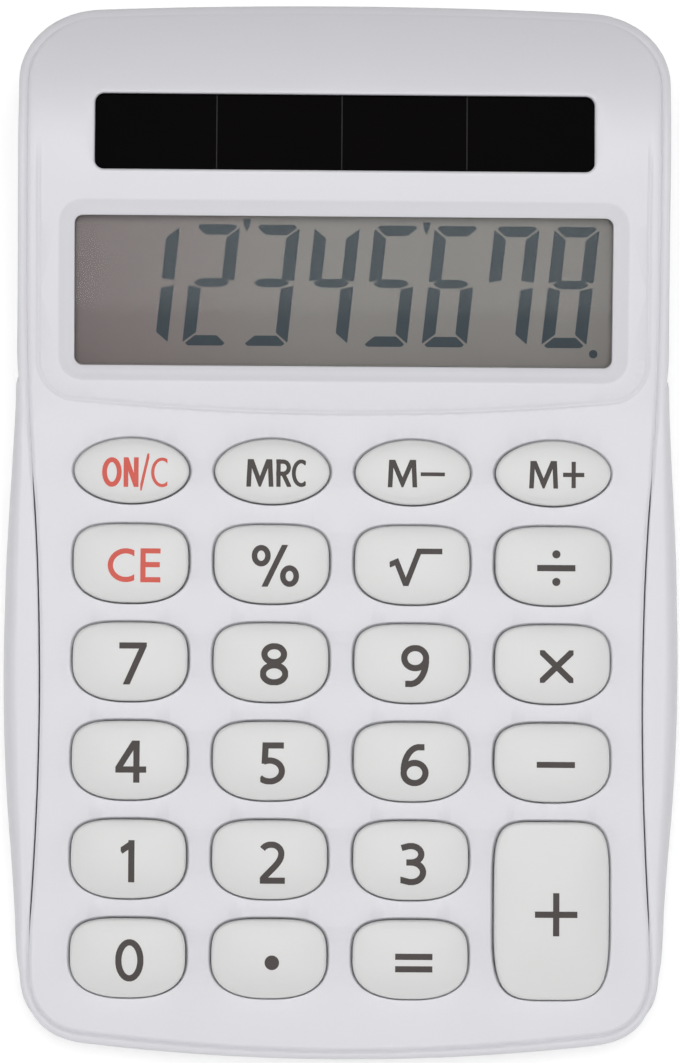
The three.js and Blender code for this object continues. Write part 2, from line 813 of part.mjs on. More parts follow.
addPiece("solar_lead_red", lead(leadSpacing), leadRed);
addPiece("solar_lead_black", lead(2 * leadSpacing), leadBlack);

// Rear case: a tray whose sides rise into the two grips beside the housing's waist
const gripPower = 6;
const rimShares = [0.45, 0.75, 1];
const gripEndShares = [0.2, 0.97];
const [gripStart, gripEnd] = gripEndShares.map((share) => share * displayStart);

function gripRise(y) {
  const along = THREE.MathUtils.clamp((y - gripStart) / (gripEnd - gripStart), 0, 1);
  return 1 - Math.abs(2 * along - 1) ** gripPower;
}

function rimHeight(y) {
  const base = seamHeight(y) + seamGap;
  return base + Math.max(topHeight(y) - gripDrop - base, 0) * gripRise(y);
}

// The case's surface, pushed inwards by a depth: bottom edge, belly, then over towards the seam
function shellLoft(depth, floor) {
  const belly = (y) => seamHeight(y) - seamGap;
  const rings = [
    ringOf("shell", depth + bottomEdge, () => floor),
    ringOf("shell", depth + bottomEdge * rounding, () => floor + bottomEdge * rounding),
    ringOf("shell", depth, (y) => Math.min(floor + bottomEdge, belly(y))),
    ringOf("shell", depth, (y) => Math.max(floor + bottomEdge, belly(y)) + leastGrip / 2),
  ];
  for (const angle of rimShares.map((share) => share * Math.PI / 2)) {
    rings.push(outline.map((station) => {
      const from = station.shell.clone().addScaledVector(station.shellNormal, -depth);
      const to = station.cover.clone().addScaledVector(station.coverNormal, -wall / 2);
      const y = from.y;
      const low = Math.max(floor + bottomEdge, belly(y)) + leastGrip / 2;
      const high = Math.max(rimHeight(y) - depth, low + leastGrip);
      const place = from.lerp(to, 1 - Math.cos(angle));
      return new THREE.Vector3(place.x, place.y, low + (high - low) * Math.sin(angle));
    }));
  }
  return rings;
}

function coverSpace() {
  const clear = (station) => (
    station.grip < seamGap + leastGrip ? -(station.grip + overrun) : -seamGap
  );
  return solidOf(loft([
    ringOf("cover", clear, (y) => seamHeight(y) - seamGap),
    ringOf("cover", clear, aboveAll),
  ]));
}

const footPlaces = [-1, 1].flatMap((side) => [
  { name: side < 0 ? "foot_front_left" : "foot_front_right",
    x: side * (footHalf - footInsetX), y: footInsetFront },
  { name: side < 0 ? "foot_back_left" : "foot_back_right",
    x: side * (footHalf - footInsetX), y: caseLength - footInsetBack },
]);
const footSides = 16;

function rearCase() {
  let solid = solidOf(loft(shellLoft(0, standHeight)));
  const hollow = shellLoft(wall, floorTop);
  hollow.push(hollow[hollow.length - 1].map((point) => point.clone().setZ(aboveAll())));
  solid = solid.subtract(solidOf(loft(hollow))).subtract(coverSpace());
  for (const { x, y } of caseScrewPlaces) {
    solid = solid.add(solidOf(rod(pillarRadius, floorTop - floorThickness / 2, pillarTop,
      bossSides, x, y)));
    solid = solid.subtract(solidOf(rod(caseScrewHeadRadius + screwClearance * 2,
      standHeight - overrun, caseScrewSeat, bossSides, x, y)));
    solid = solid.subtract(solidOf(rod(caseScrewRadius + screwClearance, standHeight - overrun,
      pillarTop + overrun, bossSides, x, y)));
  }
  for (const { x, y } of footPlaces) {
    solid = solid.subtract(solidOf(rod(footRadius + footSeatClearance, standHeight - overrun,
      footThickness + seatGap, footSides, x, y)));
  }
  return geometryOf(solid);
}

addPiece("rear_case", rearCase(), whiteShell);

function caseScrew() {
  const headTop = caseScrewSeat - seatGap;
  return turned([
    [0, headTop - caseScrewHeadHeight],
    [caseScrewHeadRadius * Math.SQRT1_2, headTop - caseScrewHeadHeight],
    [caseScrewHeadRadius, headTop - caseScrewHeadHeight / 2],
    [caseScrewHeadRadius, headTop],
    [caseScrewRadius, headTop],
    [caseScrewRadius, caseScrewTip - caseScrewRadius],
    [0, caseScrewTip],
  ], bossSides);
}

caseScrewPlaces.forEach(({ x, y }, index) => {
  addPiece(`case_screw_${index + 1}`, caseScrew(), screwSteel).position.set(x, y, 0);
});

for (const { name, x, y } of footPlaces) {
  addPiece(name, turned([
    [0, 0], [footRadius - footChamfer, 0], [footRadius, footChamfer],
    [footRadius, footThickness], [0, footThickness],
  ], footSides), footRubber).position.set(x, y, 0);
}

export default calculator;
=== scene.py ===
"""Visual model of a solar desktop calculator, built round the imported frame.

Pieces are shaped in millimetres in the case's own coordinates: x to the right, y from the front
edge to the display end, z up. MeshPile.piece() turns them to metres in the frame's coordinates.
"""
import logging
import math
from collections.abc import Callable, Iterable, Sequence
from dataclasses import dataclass, field
from enum import Enum

import bmesh
import bpy
import numpy as np
from mathutils import Matrix, Vector
from mathutils.geometry import delaunay_2d_cdt


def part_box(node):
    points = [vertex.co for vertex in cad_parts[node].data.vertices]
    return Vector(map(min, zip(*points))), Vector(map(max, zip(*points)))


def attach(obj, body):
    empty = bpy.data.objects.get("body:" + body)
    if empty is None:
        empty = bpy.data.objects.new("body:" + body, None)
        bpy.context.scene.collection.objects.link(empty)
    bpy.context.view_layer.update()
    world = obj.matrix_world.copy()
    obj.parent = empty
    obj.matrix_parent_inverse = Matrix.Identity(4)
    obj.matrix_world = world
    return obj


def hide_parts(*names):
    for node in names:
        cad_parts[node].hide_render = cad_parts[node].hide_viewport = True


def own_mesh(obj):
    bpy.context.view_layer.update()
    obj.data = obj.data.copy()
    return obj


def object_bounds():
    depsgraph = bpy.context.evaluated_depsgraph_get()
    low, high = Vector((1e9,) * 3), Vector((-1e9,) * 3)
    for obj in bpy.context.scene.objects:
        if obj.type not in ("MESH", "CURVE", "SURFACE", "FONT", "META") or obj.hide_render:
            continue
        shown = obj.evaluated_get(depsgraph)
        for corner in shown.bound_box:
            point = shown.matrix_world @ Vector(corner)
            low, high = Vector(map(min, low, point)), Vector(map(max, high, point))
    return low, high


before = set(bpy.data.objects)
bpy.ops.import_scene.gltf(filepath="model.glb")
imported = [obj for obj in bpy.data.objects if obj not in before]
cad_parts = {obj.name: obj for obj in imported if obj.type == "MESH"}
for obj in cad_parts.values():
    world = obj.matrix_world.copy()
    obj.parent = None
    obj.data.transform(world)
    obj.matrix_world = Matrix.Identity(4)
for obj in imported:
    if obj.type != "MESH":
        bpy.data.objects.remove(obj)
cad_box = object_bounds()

log = logging.getLogger("calculator")

MM = 0.001

# Millimetres left between two parts where their joint is tight, and between neighbouring rings
HAIRLINE = 0.004
RING_STEP = 0.01

Pair = tuple[float, float]
Triple = tuple[float, float, float]
Colour = tuple[float, float, float, float]


def linear(hex_colour: str) -> Colour:
    """Turn an sRGB hex colour into linear RGBA.

    Args:
        hex_colour: six hex digits, such as "e0e1e6".

    Returns:
        The colour as Blender's sockets take it.
    """
    parts = [int(hex_colour[i:i + 2], 16) / 255 for i in (0, 2, 4)]
    red, green, blue = (c / 12.92 if c <= 0.04045 else ((c + 0.055) / 1.055) ** 2.4 for c in parts)
    return (red, green, blue, 1.0)


def add_node(
    tree: bpy.types.NodeTree,
    kind: str,
    settings: dict[str | int, object] | None = None,
    links: dict[str | int, bpy.types.NodeSocket] | None = None,
) -> bpy.types.Node:
    """Add a node with its settings and links.

    Args:
        tree: the node tree that gets it.
        kind: Blender's name for the node's type.
        settings: values by attribute name or by input name or number.
        links: output sockets by the input that they feed.

    Returns:
        The new node.
    """
    node = tree.nodes.new(kind)
    for key, value in (settings or {}).items():
        if isinstance(key, str) and hasattr(node, key):
            setattr(node, key, value)
        else:
            node.inputs[key].default_value = value
    for key, socket in (links or {}).items():
        tree.links.new(socket, node.inputs[key])
    return node


@dataclass(frozen=True)
class Finish:
    """One real surface: what it is made of, how it was formed, and what that gives the eye.

    Attributes:
        name: the material's name.
        slot: the record's material slot, not used.
        light: sRGB hex of the surface where it is lightest.
        dark: sRGB hex where it is darkest.
        roughness: roughness in the middle of its spread.
        grain_mm: spacing of the fine texture. Grain that is really finer is drawn at this spacing,
            so that it shows in the picture.
        relief_mm: height of the fine texture.
        spread: how far the roughness wanders either way.
        patch_mm: size of the broad, faint changes of colour.
        metallic: 1 for bare metal.
        ior: refractive index.
        coat: weight of a clear layer on top.
        coat_roughness: roughness of that layer.
        gloss: level of the reflection from the surface, 0.5 for the plain one.
        alpha: how much of the surface is there at all, 1 for anything solid.
    """

    name: str
    slot: str
    light: str
    dark: str
    roughness: float
    grain_mm: float = 0.3
    relief_mm: float = 0.003
    spread: float = 0.04
    patch_mm: float = 14.0
    metallic: float = 0.0
    ior: float = 1.5
    coat: float = 0.0
    coat_roughness: float = 0.05
    gloss: float = 0.5
    alpha: float = 1.0

    def colour(
        self, tree: bpy.types.NodeTree, place: bpy.types.NodeSocket, fine: bpy.types.NodeSocket
    ) -> bpy.types.NodeSocket:
        """Mix the two colours by broad patches with a little of the fine texture.

        Args:
            tree: the material's nodes.
            place: object coordinates in metres.
            fine: the fine texture's value.

        Returns:
            The colour's socket.
        """
        patches = add_node(
            tree, "ShaderNodeTexNoise", {"Scale": 1 / (self.patch_mm * MM), "Detail": 2.0},
            {"Vector": place},
        )
        blend = add_node(
            tree, "ShaderNodeMix", {"data_type": "FLOAT", 0: 0.35},
            {2: patches.outputs["Fac"], 3: fine},
        )
        mixed = add_node(
            tree, "ShaderNodeMix",
            {"data_type": "RGBA", 6: linear(self.dark), 7: linear(self.light)},
            {0: blend.outputs[0]},
        )
        return mixed.outputs[2]

    def material(self) -> bpy.types.Material:
        """Return this finish's material, made at its first use."""
        known = bpy.data.materials.get(self.name)
        if known:
            return known
        made = bpy.data.materials.new(self.name)
        made.use_nodes = True
        tree = made.node_tree
        tree.nodes.clear()
        place = add_node(tree, "ShaderNodeTexCoord").outputs["Object"]
        fine = add_node(
            tree, "ShaderNodeTexNoise",
            {"Scale": 1 / (self.grain_mm * MM), "Detail": 3.0, "Roughness": 0.55},
            {"Vector": place},
        ).outputs["Fac"]
        rough = add_node(
            tree, "ShaderNodeMapRange",
            {"To Min": self.roughness - self.spread, "To Max": self.roughness + self.spread},
            {"Value": fine},
        )
        bump = add_node(
            tree, "ShaderNodeBump", {"Strength": 1.0, "Distance": self.relief_mm * MM},
            {"Height": fine},
        )
        shader = add_node(
            tree, "ShaderNodeBsdfPrincipled",
            {
                "Metallic": self.metallic, "IOR": self.ior, "Coat Weight": self.coat,
                "Coat Roughness": self.coat_roughness, "Specular IOR Level": self.gloss,
                "Alpha": self.alpha,
            },
            {
                "Base Color": self.colour(tree, place, fine),
                "Roughness": rough.outputs["Result"],
                "Normal": bump.outputs["Normal"],
            },
        )
        add_node(tree, "ShaderNodeOutputMaterial", links={"Surface": shader.outputs["BSDF"]})
        return made


@dataclass(frozen=True)
class DisplayFilm(Finish):
    """Grey polariser over a reflector, which looks a little darker and redder towards one side.

    Attributes:
        side: sRGB hex at the left edge.
        half_width_mm: distance from the middle to that edge.
    """

    side: str = "887e7d"
    half_width_mm: float = 29.0

    def colour(
        self, tree: bpy.types.NodeTree, place: bpy.types.NodeSocket, fine: bpy.types.NodeSocket
    ) -> bpy.types.NodeSocket:
        """Fade the plain film colour towards the side colour along the display.

        Args:
            tree: the material's nodes.
            place: object coordinates in metres.
            fine: the fine texture's value.

        Returns:
            The colour's socket.
        """
        plain = super().colour(tree, place, fine)
        across = add_node(tree, "ShaderNodeSeparateXYZ", links={"Vector": place})
        share = add_node(
            tree, "ShaderNodeMapRange",
            {
                "interpolation_type": "SMOOTHSTEP", "From Min": -self.half_width_mm * MM,
                "From Max": 0.0, "To Min": 1.0, "To Max": 0.0,
            },
            {"Value": across.outputs["X"]},
        )
        faded = add_node(
            tree, "ShaderNodeMix", {"data_type": "RGBA", 7: linear(self.side)},
            {0: share.outputs["Result"], 6: plain},
        )
        return faded.outputs[2]


@dataclass(frozen=True)
class Banded(Finish):
    """Rubber strip of thin conducting and insulating layers, seen as fine bands across it.

    Attributes:
        band_mm: width of one pair of layers.
    """

    band_mm: float = 0.5

    def colour(
        self, tree: bpy.types.NodeTree, place: bpy.types.NodeSocket, fine: bpy.types.NodeSocket
    ) -> bpy.types.NodeSocket:
        """Set dark and light layers side by side along x.

        Args:
            tree: the material's nodes.
            place: object coordinates in metres.
            fine: the fine texture's value, not used by the layers.

        Returns:
            The colour's socket.
        """
        bands = add_node(
            tree, "ShaderNodeTexWave",
            {"wave_type": "BANDS", "bands_direction": "X", "Scale": 0.05 / (self.band_mm * MM)},
            {"Vector": place},
        )
        mixed = add_node(
            tree, "ShaderNodeMix",
            {"data_type": "RGBA", 6: linear(self.dark), 7: linear(self.light)},
            {0: bands.outputs["Fac"]},
        )
        return mixed.outputs[2]


# ABS, injection moulded in a spark-eroded tool: a faint even grain that softens every highlight,
# drawn three times as coarse as the real 0.1 mm
WHITE_SHELL = Finish("abs_moulded_white", "white_shell", "e0e0e5", "dad9de", 0.42)
# ABS from a polished tool: smoother and a little warmer than the housing round it
WHITE_KEY = Finish(
    "abs_polished_white", "white_key", "dddddd", "d8d8d7", 0.4, grain_mm=0.5, relief_mm=0.001,
)
# Pad-printed ink: thin, warm dark grey, slightly uneven where the pad let go
PRINT_GREY = Finish(
    "pad_print_grey", "white_key", "554f4e", "47423f", 0.5, grain_mm=0.2, patch_mm=2.0,
    gloss=0.15,
)
# The same ink in red, for the two keys that clear
PRINT_RED = Finish(
    "pad_print_red", "white_key", "de6a5e", "d25b50", 0.5, grain_mm=0.2, patch_mm=2.0,
    gloss=0.15,
)
# Acrylic sheet, cast and polished: quite clear, so all the eye gets is a faint sharp reflection
CLEAR_WINDOW = Finish(
    "acrylic_clear", "clear_window", "1c1e1e", "181a1a", 0.03, grain_mm=4.0, relief_mm=0.0002,
    spread=0.01, ior=1.49, alpha=0.06,
)
# Polarising film on the display glass: a flat warm grey with a fine sparkle from the reflector
DISPLAY_FILM = DisplayFilm(
    "polariser_grey", "display_film", "95928e", "8c8885", 0.3, grain_mm=0.25, relief_mm=0.0006,
    patch_mm=20.0, gloss=0.1,
)
# Driven liquid crystal: blue-green black, a little uneven through the cell
SEGMENT = Finish(
    "liquid_crystal_dark", "display_film", "445159", "394449", 0.3, grain_mm=0.4,
    relief_mm=0.0002, patch_mm=5.0, gloss=0.1,
)
# Soda-lime glass with cut edges: pale green
GLASS_EDGE = Finish(
    "soda_glass_green", "display_glass", "c9d6d1", "bccac5", 0.08, grain_mm=2.0,
    relief_mm=0.0002, spread=0.02, ior=1.52,
)
# Metallised film with a matt face: dull silver
REFLECTOR = Finish(
    "metallised_film", "reflector_foil", "b4b4b0", "a0a09c", 0.38, grain_mm=0.2, metallic=0.8,
)
# Contact strip of conducting and insulating silicone, layer on layer: fine pink and dark bands
CONTACT_STRIP = Banded(
    "silicone_layered", "contact_rubber", "d2a59f", "5a3a38", 0.7, grain_mm=0.2, band_mm=0.4,
)
# Amorphous silicon cells behind glass: near black with a brown cast, mirror smooth on top
SOLAR_CELL = Finish(
    "amorphous_silicon", "solar_glass", "080607", "050405", 0.3, grain_mm=0.35,
    relief_mm=0.0003, patch_mm=9.0, gloss=0.006,
)
# Laser scribes and bus lines between the cells: thin grey
SOLAR_LINE = Finish(
    "cell_scribe_grey", "solar_glass", "38383a", "262628", 0.35, grain_mm=0.2, patch_mm=3.0,
    gloss=0.02,
)
# Silicone rubber, compression moulded: milky and matt
SILICONE = Finish(
    "silicone_milky", "silicone", "c2c6ca", "b2b7bc", 0.62, grain_mm=0.25, relief_mm=0.004,
)
# Paper phenolic board under brown solder resist: fine fibres, slightly glossy
BOARD = Finish(
    "paper_phenolic", "board", "a87543", "8c5d33", 0.42, grain_mm=0.25, patch_mm=3.0,
    relief_mm=0.004,
)
# Epoxy dropped on the chip: black and glossy with soft waves
RESIN = Finish(
    "epoxy_black", "resin", "1b1b1c", "111112", 0.22, grain_mm=1.2, relief_mm=0.01,
)
# Shrunk PVC sleeve: dark blue, smooth
SLEEVE = Finish(
    "pvc_sleeve_blue", "capacitor_sleeve", "2a3870", "1f2a58", 0.3, grain_mm=0.5,
)
# Diode in a lacquered glass body: dark red with a wet shine
DIODE = Finish("diode_glass_red", "diode_body", "9a3022", "7e2419", 0.2, grain_mm=0.5)
# PVC drawn over fine stranded wire: smooth, with a soft shine
LEAD_RED = Finish("pvc_lead_red", "lead_red", "b82626", "a01c1c", 0.4, grain_mm=0.4)
LEAD_BLACK = Finish("pvc_lead_black", "lead_black", "202022", "161618", 0.4, grain_mm=0.4)
# Zinc plated steel, cold headed: bluish silver with faint tool marks
ZINC_STEEL = Finish(
    "zinc_plated_steel", "screw_steel", "c6c9cc", "a9adb2", 0.3, grain_mm=0.15,
    relief_mm=0.003, spread=0.08, patch_mm=1.5, metallic=1.0,
)
# Thermoplastic rubber foot: matt, with a fine moulded grain
FOOT_RUBBER = Finish(
    "rubber_pale_grey", "foot_rubber", "c4c5c7", "b4b6b8", 0.75, grain_mm=0.2, relief_mm=0.01,
)


def inside(points: np.ndarray, loop: np.ndarray) -> np.ndarray:
    """Tell which points a closed loop winds round, also where it crosses itself.

    Args:
        points: N by 2.
        loop: M by 2.

    Returns:
        N booleans.
    """
    x, y = points[:, 0:1], points[:, 1:2]
    ax, ay = loop[:, 0], loop[:, 1]
    bx, by = np.roll(ax, -1), np.roll(ay, -1)
    rise = np.where(by == ay, 1e-12, by - ay)
    crossed = ((ay > y) != (by > y)) & (x < (bx - ax) * (y - ay) / rise + ax)
    return (crossed * np.sign(rise)).sum(axis=1) != 0


def fill_region(
    outer: np.ndarray, holes: Sequence[np.ndarray] = (), extra: np.ndarray | None = None
) -> np.ndarray:
    """Triangulate the region inside one loop and outside others.

    Args:
        outer: the closed boundary.
        holes: closed boundaries of the openings.
        extra: loose points inside the region.

    Returns:
        Triangles as numbers into outer, the holes and extra, laid end to end.
    """
    loops = [outer, *holes]
    points = np.vstack([*loops, *([] if extra is None else [extra])])
    edges = []
    start = 0
    for loop in loops:
        count = len(loop)
        edges += [(start + i, start + (i + 1) % count) for i in range(count)]
        start += count
    flat = [Vector((float(x), float(y))) for x, y in points]
    _, _, faces, sources, _, _ = delaunay_2d_cdt(flat, edges, [], 0, 1e-7, True)
    triangles = np.array([[sources[i][0] for i in face] for face in faces])
    centres = points[triangles].mean(axis=1)
    keep = inside(centres, outer)
    for hole in holes:
        keep &= ~inside(centres, hole)
    return triangles[keep]


def away_from(points: np.ndarray, others: np.ndarray, least: float) -> np.ndarray:
    """Keep the points that lie at least some distance from all the others."""
    gaps = np.linalg.norm(points[:, None, :] - others[None, :, :], axis=2)
    return points[gaps.min(axis=1) >= least]


def bezier(controls: Sequence[Sequence[float]], count: int) -> np.ndarray:
    """Points on a Bezier curve, both ends included.

    Args:
        controls: the control points.
        count: how many steps the curve has.

    Returns:
        count + 1 points.
    """
    t = np.linspace(0, 1, count + 1)[:, None]
    order = len(controls) - 1
    terms = [
        math.comb(order, k) * t ** k * (1 - t) ** (order - k) * np.array(point, float)
        for k, point in enumerate(controls)
    ]
    return sum(terms)


def between(points: np.ndarray, loops: Sequence[np.ndarray], least: float) -> np.ndarray:
    """Keep the points inside the first loop, outside the others and some way from them all."""
    points = points[inside(points, loops[0])]
    for hole in loops[1:]:
        points = points[~inside(points, hole)]
    return away_from(points, np.vstack(loops), least)


def quarter_turn(steps: int) -> np.ndarray:
    """Angles from nothing to a quarter turn, both included."""
    return np.linspace(0, math.pi / 2, steps + 1)


def outward(loop: np.ndarray) -> np.ndarray:
    """Outward normals of a counterclockwise loop."""
    run = np.roll(loop, -1, axis=0) - np.roll(loop, 1, axis=0)
    run /= np.linalg.norm(run, axis=1)[:, None]
    return np.column_stack([run[:, 1], -run[:, 0]])


def eased(low: float, high: float, value: np.ndarray) -> np.ndarray:
    """Go smoothly from 0 at low to 1 at high."""
    t = np.clip((value - low) / (high - low), 0, 1)
    return t * t * (3 - 2 * t)


def rounded_rectangle(width: float, depth: float, corner: float, steps: int = 8) -> np.ndarray:
    """Closed loop of a rectangle with round corners, about its middle.

    Args:
        width: size along x.
        depth: size along y.
        corner: radius of the corners.
        steps: steps in each corner.

    Returns:
        The loop, counterclockwise.
    """
    loop = []
    centres = ((1, -1), (1, 1), (-1, 1), (-1, -1))
    for quarter, (side_x, side_y) in enumerate(centres):
        angles = (quarter - 1 + np.linspace(0, 1, steps + 1)) * math.pi / 2
        loop.append(np.column_stack([
            side_x * (width / 2 - corner) + corner * np.cos(angles),
            side_y * (depth / 2 - corner) + corner * np.sin(angles),
        ]))
    return np.vstack(loop)


def circle(radius: float, sides: int, x: float = 0, y: float = 0) -> np.ndarray:
    """Closed loop of a circle about a point."""
    angles = np.arange(sides) * 2 * math.pi / sides
    return np.column_stack([x + radius * np.cos(angles), y + radius * np.sin(angles)])


def raised(loop: np.ndarray, height: float | np.ndarray) -> np.ndarray:
    """Give a flat loop its height."""
    return np.column_stack([loop, np.broadcast_to(height, len(loop))])


class MeshPile:
    """Vertices and faces of one piece, gathered in millimetres in the case's coordinates."""

    def __init__(self, place: Matrix | None = None) -> None:
        """Start an empty pile.

        Args:
            place: turns what is added into the case's coordinates.
        """
        self.place = np.array(place or Matrix.Identity(4))
        self.points: list[np.ndarray] = []
        self.faces: list[tuple[int, ...]] = []
        self.count = 0

    def add(self, points: np.ndarray) -> np.ndarray:
        """Add vertices.

        Args:
            points: N by 3.

        Returns:
            Their numbers.
        """
        turned = points @ self.place[:3, :3].T + self.place[:3, 3]
        self.points.append(turned)
        self.count += len(points)
        return np.arange(self.count - len(points), self.count)

    def strip(self, low: np.ndarray, high: np.ndarray) -> None:
        """Join two closed rings of as many vertices with quads."""
        after_low, after_high = np.roll(low, -1), np.roll(high, -1)
        for quad in zip(low, after_low, after_high, high):
            self.faces.append(tuple(int(i) for i in quad))

    def rings(self, loops: Iterable[np.ndarray]) -> tuple[np.ndarray, np.ndarray]:
        """Add closed rings of points and join each with the next.

        Args:
            loops: rings of N by 3 points.

        Returns:
            The numbers of the first and the last ring.
        """
        numbers = [self.add(loop) for loop in loops]
        for low, high in zip(numbers, numbers[1:]):
            self.strip(low, high)
        return numbers[0], numbers[-1]

    def triangles(self, numbers: np.ndarray, triangles: np.ndarray) -> None:
        """Add triangles whose corners are places in a list of vertex numbers."""
        self.faces += [tuple(int(i) for i in numbers[face]) for face in triangles]

    def cap(self, numbers: np.ndarray, centre: np.ndarray | None = None) -> None:
        """Close a ring with a fan about a centre, or with one flat face."""
        if centre is None:
            self.faces.append(tuple(int(i) for i in numbers))
            return
        middle = int(self.add(centre.reshape(1, 3))[0])
        for a, b in zip(numbers, np.roll(numbers, -1)):
            self.faces.append((int(a), int(b), middle))

    def turn(self, profile: Sequence[Pair], sides: int) -> None:
        """Add a solid turned about z from a list of radius and height that ends on the axis.

        Args:
            profile: radius and height, first and last on the axis.
            sides: how many sides the solid has.
        """
        (_, first), *middle, (_, last) = profile
        low, high = self.rings([raised(circle(radius, sides), z) for radius, z in middle])
        self.cap(low, np.array([0.0, 0.0, first]))
        self.cap(high, np.array([0.0, 0.0, last]))

    def slab(self, loop: np.ndarray, low: float, high: float) -> None:
        """Add a flat solid from one outline."""
        triangles = fill_region(loop)
        bottom, top = self.rings([raised(loop, low), raised(loop, high)])
        self.triangles(bottom, triangles)
        self.triangles(top, triangles)

    def piece(
        self, name: str, finish: Finish, body: str = "case", replaces: Sequence[str] = (),
        sharp: float = 38.0,
    ) -> bpy.types.Object:
        """Make the piece, in metres and in the frame's coordinates.

        Args:
            name: the piece's name.
            finish: its surface.
            body: the body that it rides on.
            replaces: nodes that it stands for.
            sharp: edges that turn by more degrees than this stay sharp.

        Returns:
            The Blender object.
        """
        points = np.vstack(self.points) * MM
        points[:, 1] += cad_box[0][1]
        mesh = bpy.data.meshes.new(name)
        mesh.from_pydata(points.tolist(), [], self.faces)
        work = bmesh.new()
        work.from_mesh(mesh)
        bmesh.ops.remove_doubles(work, verts=work.verts, dist=1e-7)
        bmesh.ops.recalc_face_normals(work, faces=work.faces)
        work.to_mesh(mesh)
        work.free()
        mesh.shade_smooth()
        mesh.set_sharp_from_angle(angle=math.radians(sharp))
        mesh.materials.append(finish.material())
        made = bpy.data.objects.new(name, mesh)
        bpy.context.scene.collection.objects.link(made)
        weighted = made.modifiers.new("broad_faces_lead", "WEIGHTED_NORMAL")
        weighted.keep_sharp = True
        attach(made, body)
        if replaces:
            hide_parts(*replaces)
        log.info("%s: %d vertices, rides on %s", name, len(mesh.vertices), body)
        return made


@dataclass(frozen=True)
class CaseForm:
    """Sizes of the case in millimetres, with the side view and the plan that follow from them."""

    keyboard_slope: float = math.radians(4.5)
    display_slope: float = math.radians(12)
    roll_turn: float = math.radians(39)
    roll_radius: float = 29.0
    front_height: float = 9.395
    keyboard_end: float = 69.71
    facet_length: float = 25.05
    crease_blend: float = 1.1
    foot_half: float = 34.16
    head_half: float = 35.05
    foot_corner: float = 6.4
    head_corner: float = 8.5
    front_bow: float = 1.6
    back_bow: float = 0.65
    stand: float = 1.0
    floor_top: float = 2.6
    seam_front: float = 4.1
    seam_back: float = 9.0
    wall: float = 1.6

    @property
    def length(self) -> float:
        """Length of the case, from the frame's box."""
        return (cad_box[1][1] - cad_box[0][1]) / MM

    @property
    def display_start(self) -> float:
        """Plan place of the crease between keyboard and display."""
        return self.keyboard_end * math.cos(self.keyboard_slope)

    def tilted(self, along: float) -> Matrix:
        """Frame that lies on the top surface at a distance along it."""
        y, z, angle = self.surface(np.array([along]))
        place = Matrix.Translation((0, float(y[0]), float(z[0])))
        return place @ Matrix.Rotation(float(angle[0]), 4, "X")

    def side_view(self) -> tuple[np.ndarray, np.ndarray, np.ndarray, np.ndarray]:
        """Follow the top surface along its side view.

        Returns:
            Distance along it, and plan place, height and slope there.
        """
        step, margin = 0.05, 4
        roll_start = self.keyboard_end + self.facet_length
        roll_end = roll_start + self.roll_turn * self.roll_radius
        along = np.arange(-margin, roll_end + margin, step)
        bend = (along - self.keyboard_end + self.crease_blend) / (2 * self.crease_blend)
        turn = np.clip((along - roll_start) / self.roll_radius, 0, self.roll_turn)
        rise = self.display_slope - self.keyboard_slope
        angle = self.keyboard_slope + rise * np.clip(bend, 0, 1) - turn
        y = np.cumsum(np.cos(angle)) * step
        z = np.cumsum(np.sin(angle)) * step
        y -= np.interp(0, along, y)
        z += self.front_height - np.interp(0, along, z)
        return along, y, z, angle

    def surface(self, along: np.ndarray) -> tuple[np.ndarray, np.ndarray, np.ndarray]:
        """Plan place, height and slope of the top surface at distances along it."""
        grid, *values = SIDE_VIEW
        y, z, angle = (np.interp(along, grid, value) for value in values)
        return y, z, angle

    def lift(self, flat: np.ndarray, depth: float = 0.0) -> np.ndarray:
        """Lay points of the unrolled top surface on it.

        Args:
            flat: N by 2, x and distance along the side view.
            depth: how far below the surface they lie.

        Returns:
            N by 3 in the case's coordinates.
        """
        y, z, angle = self.surface(flat[:, 1])
        return np.column_stack([flat[:, 0], y + depth * np.sin(angle), z - depth * np.cos(angle)])

    def unroll(self, plan: np.ndarray, depth: float = 0.0) -> np.ndarray:
        """Find where plan points lie on the unrolled top surface, or on one below it."""
        along, y, _, angle = SIDE_VIEW
        across = y + depth * np.sin(angle)
        return np.column_stack([plan[:, 0], np.interp(plan[:, 1], across, along)])

    def top(self, y: np.ndarray) -> np.ndarray:
        """Height of the top surface at plan places."""
        return np.interp(y, SIDE_VIEW[1], SIDE_VIEW[2])

    def seam(self, y: np.ndarray) -> np.ndarray:
        """Height of the seam between the housing and the rear case."""
        return self.seam_front + (self.seam_back - self.seam_front) * y / self.length


FORM = CaseForm()
SIDE_VIEW = FORM.side_view()


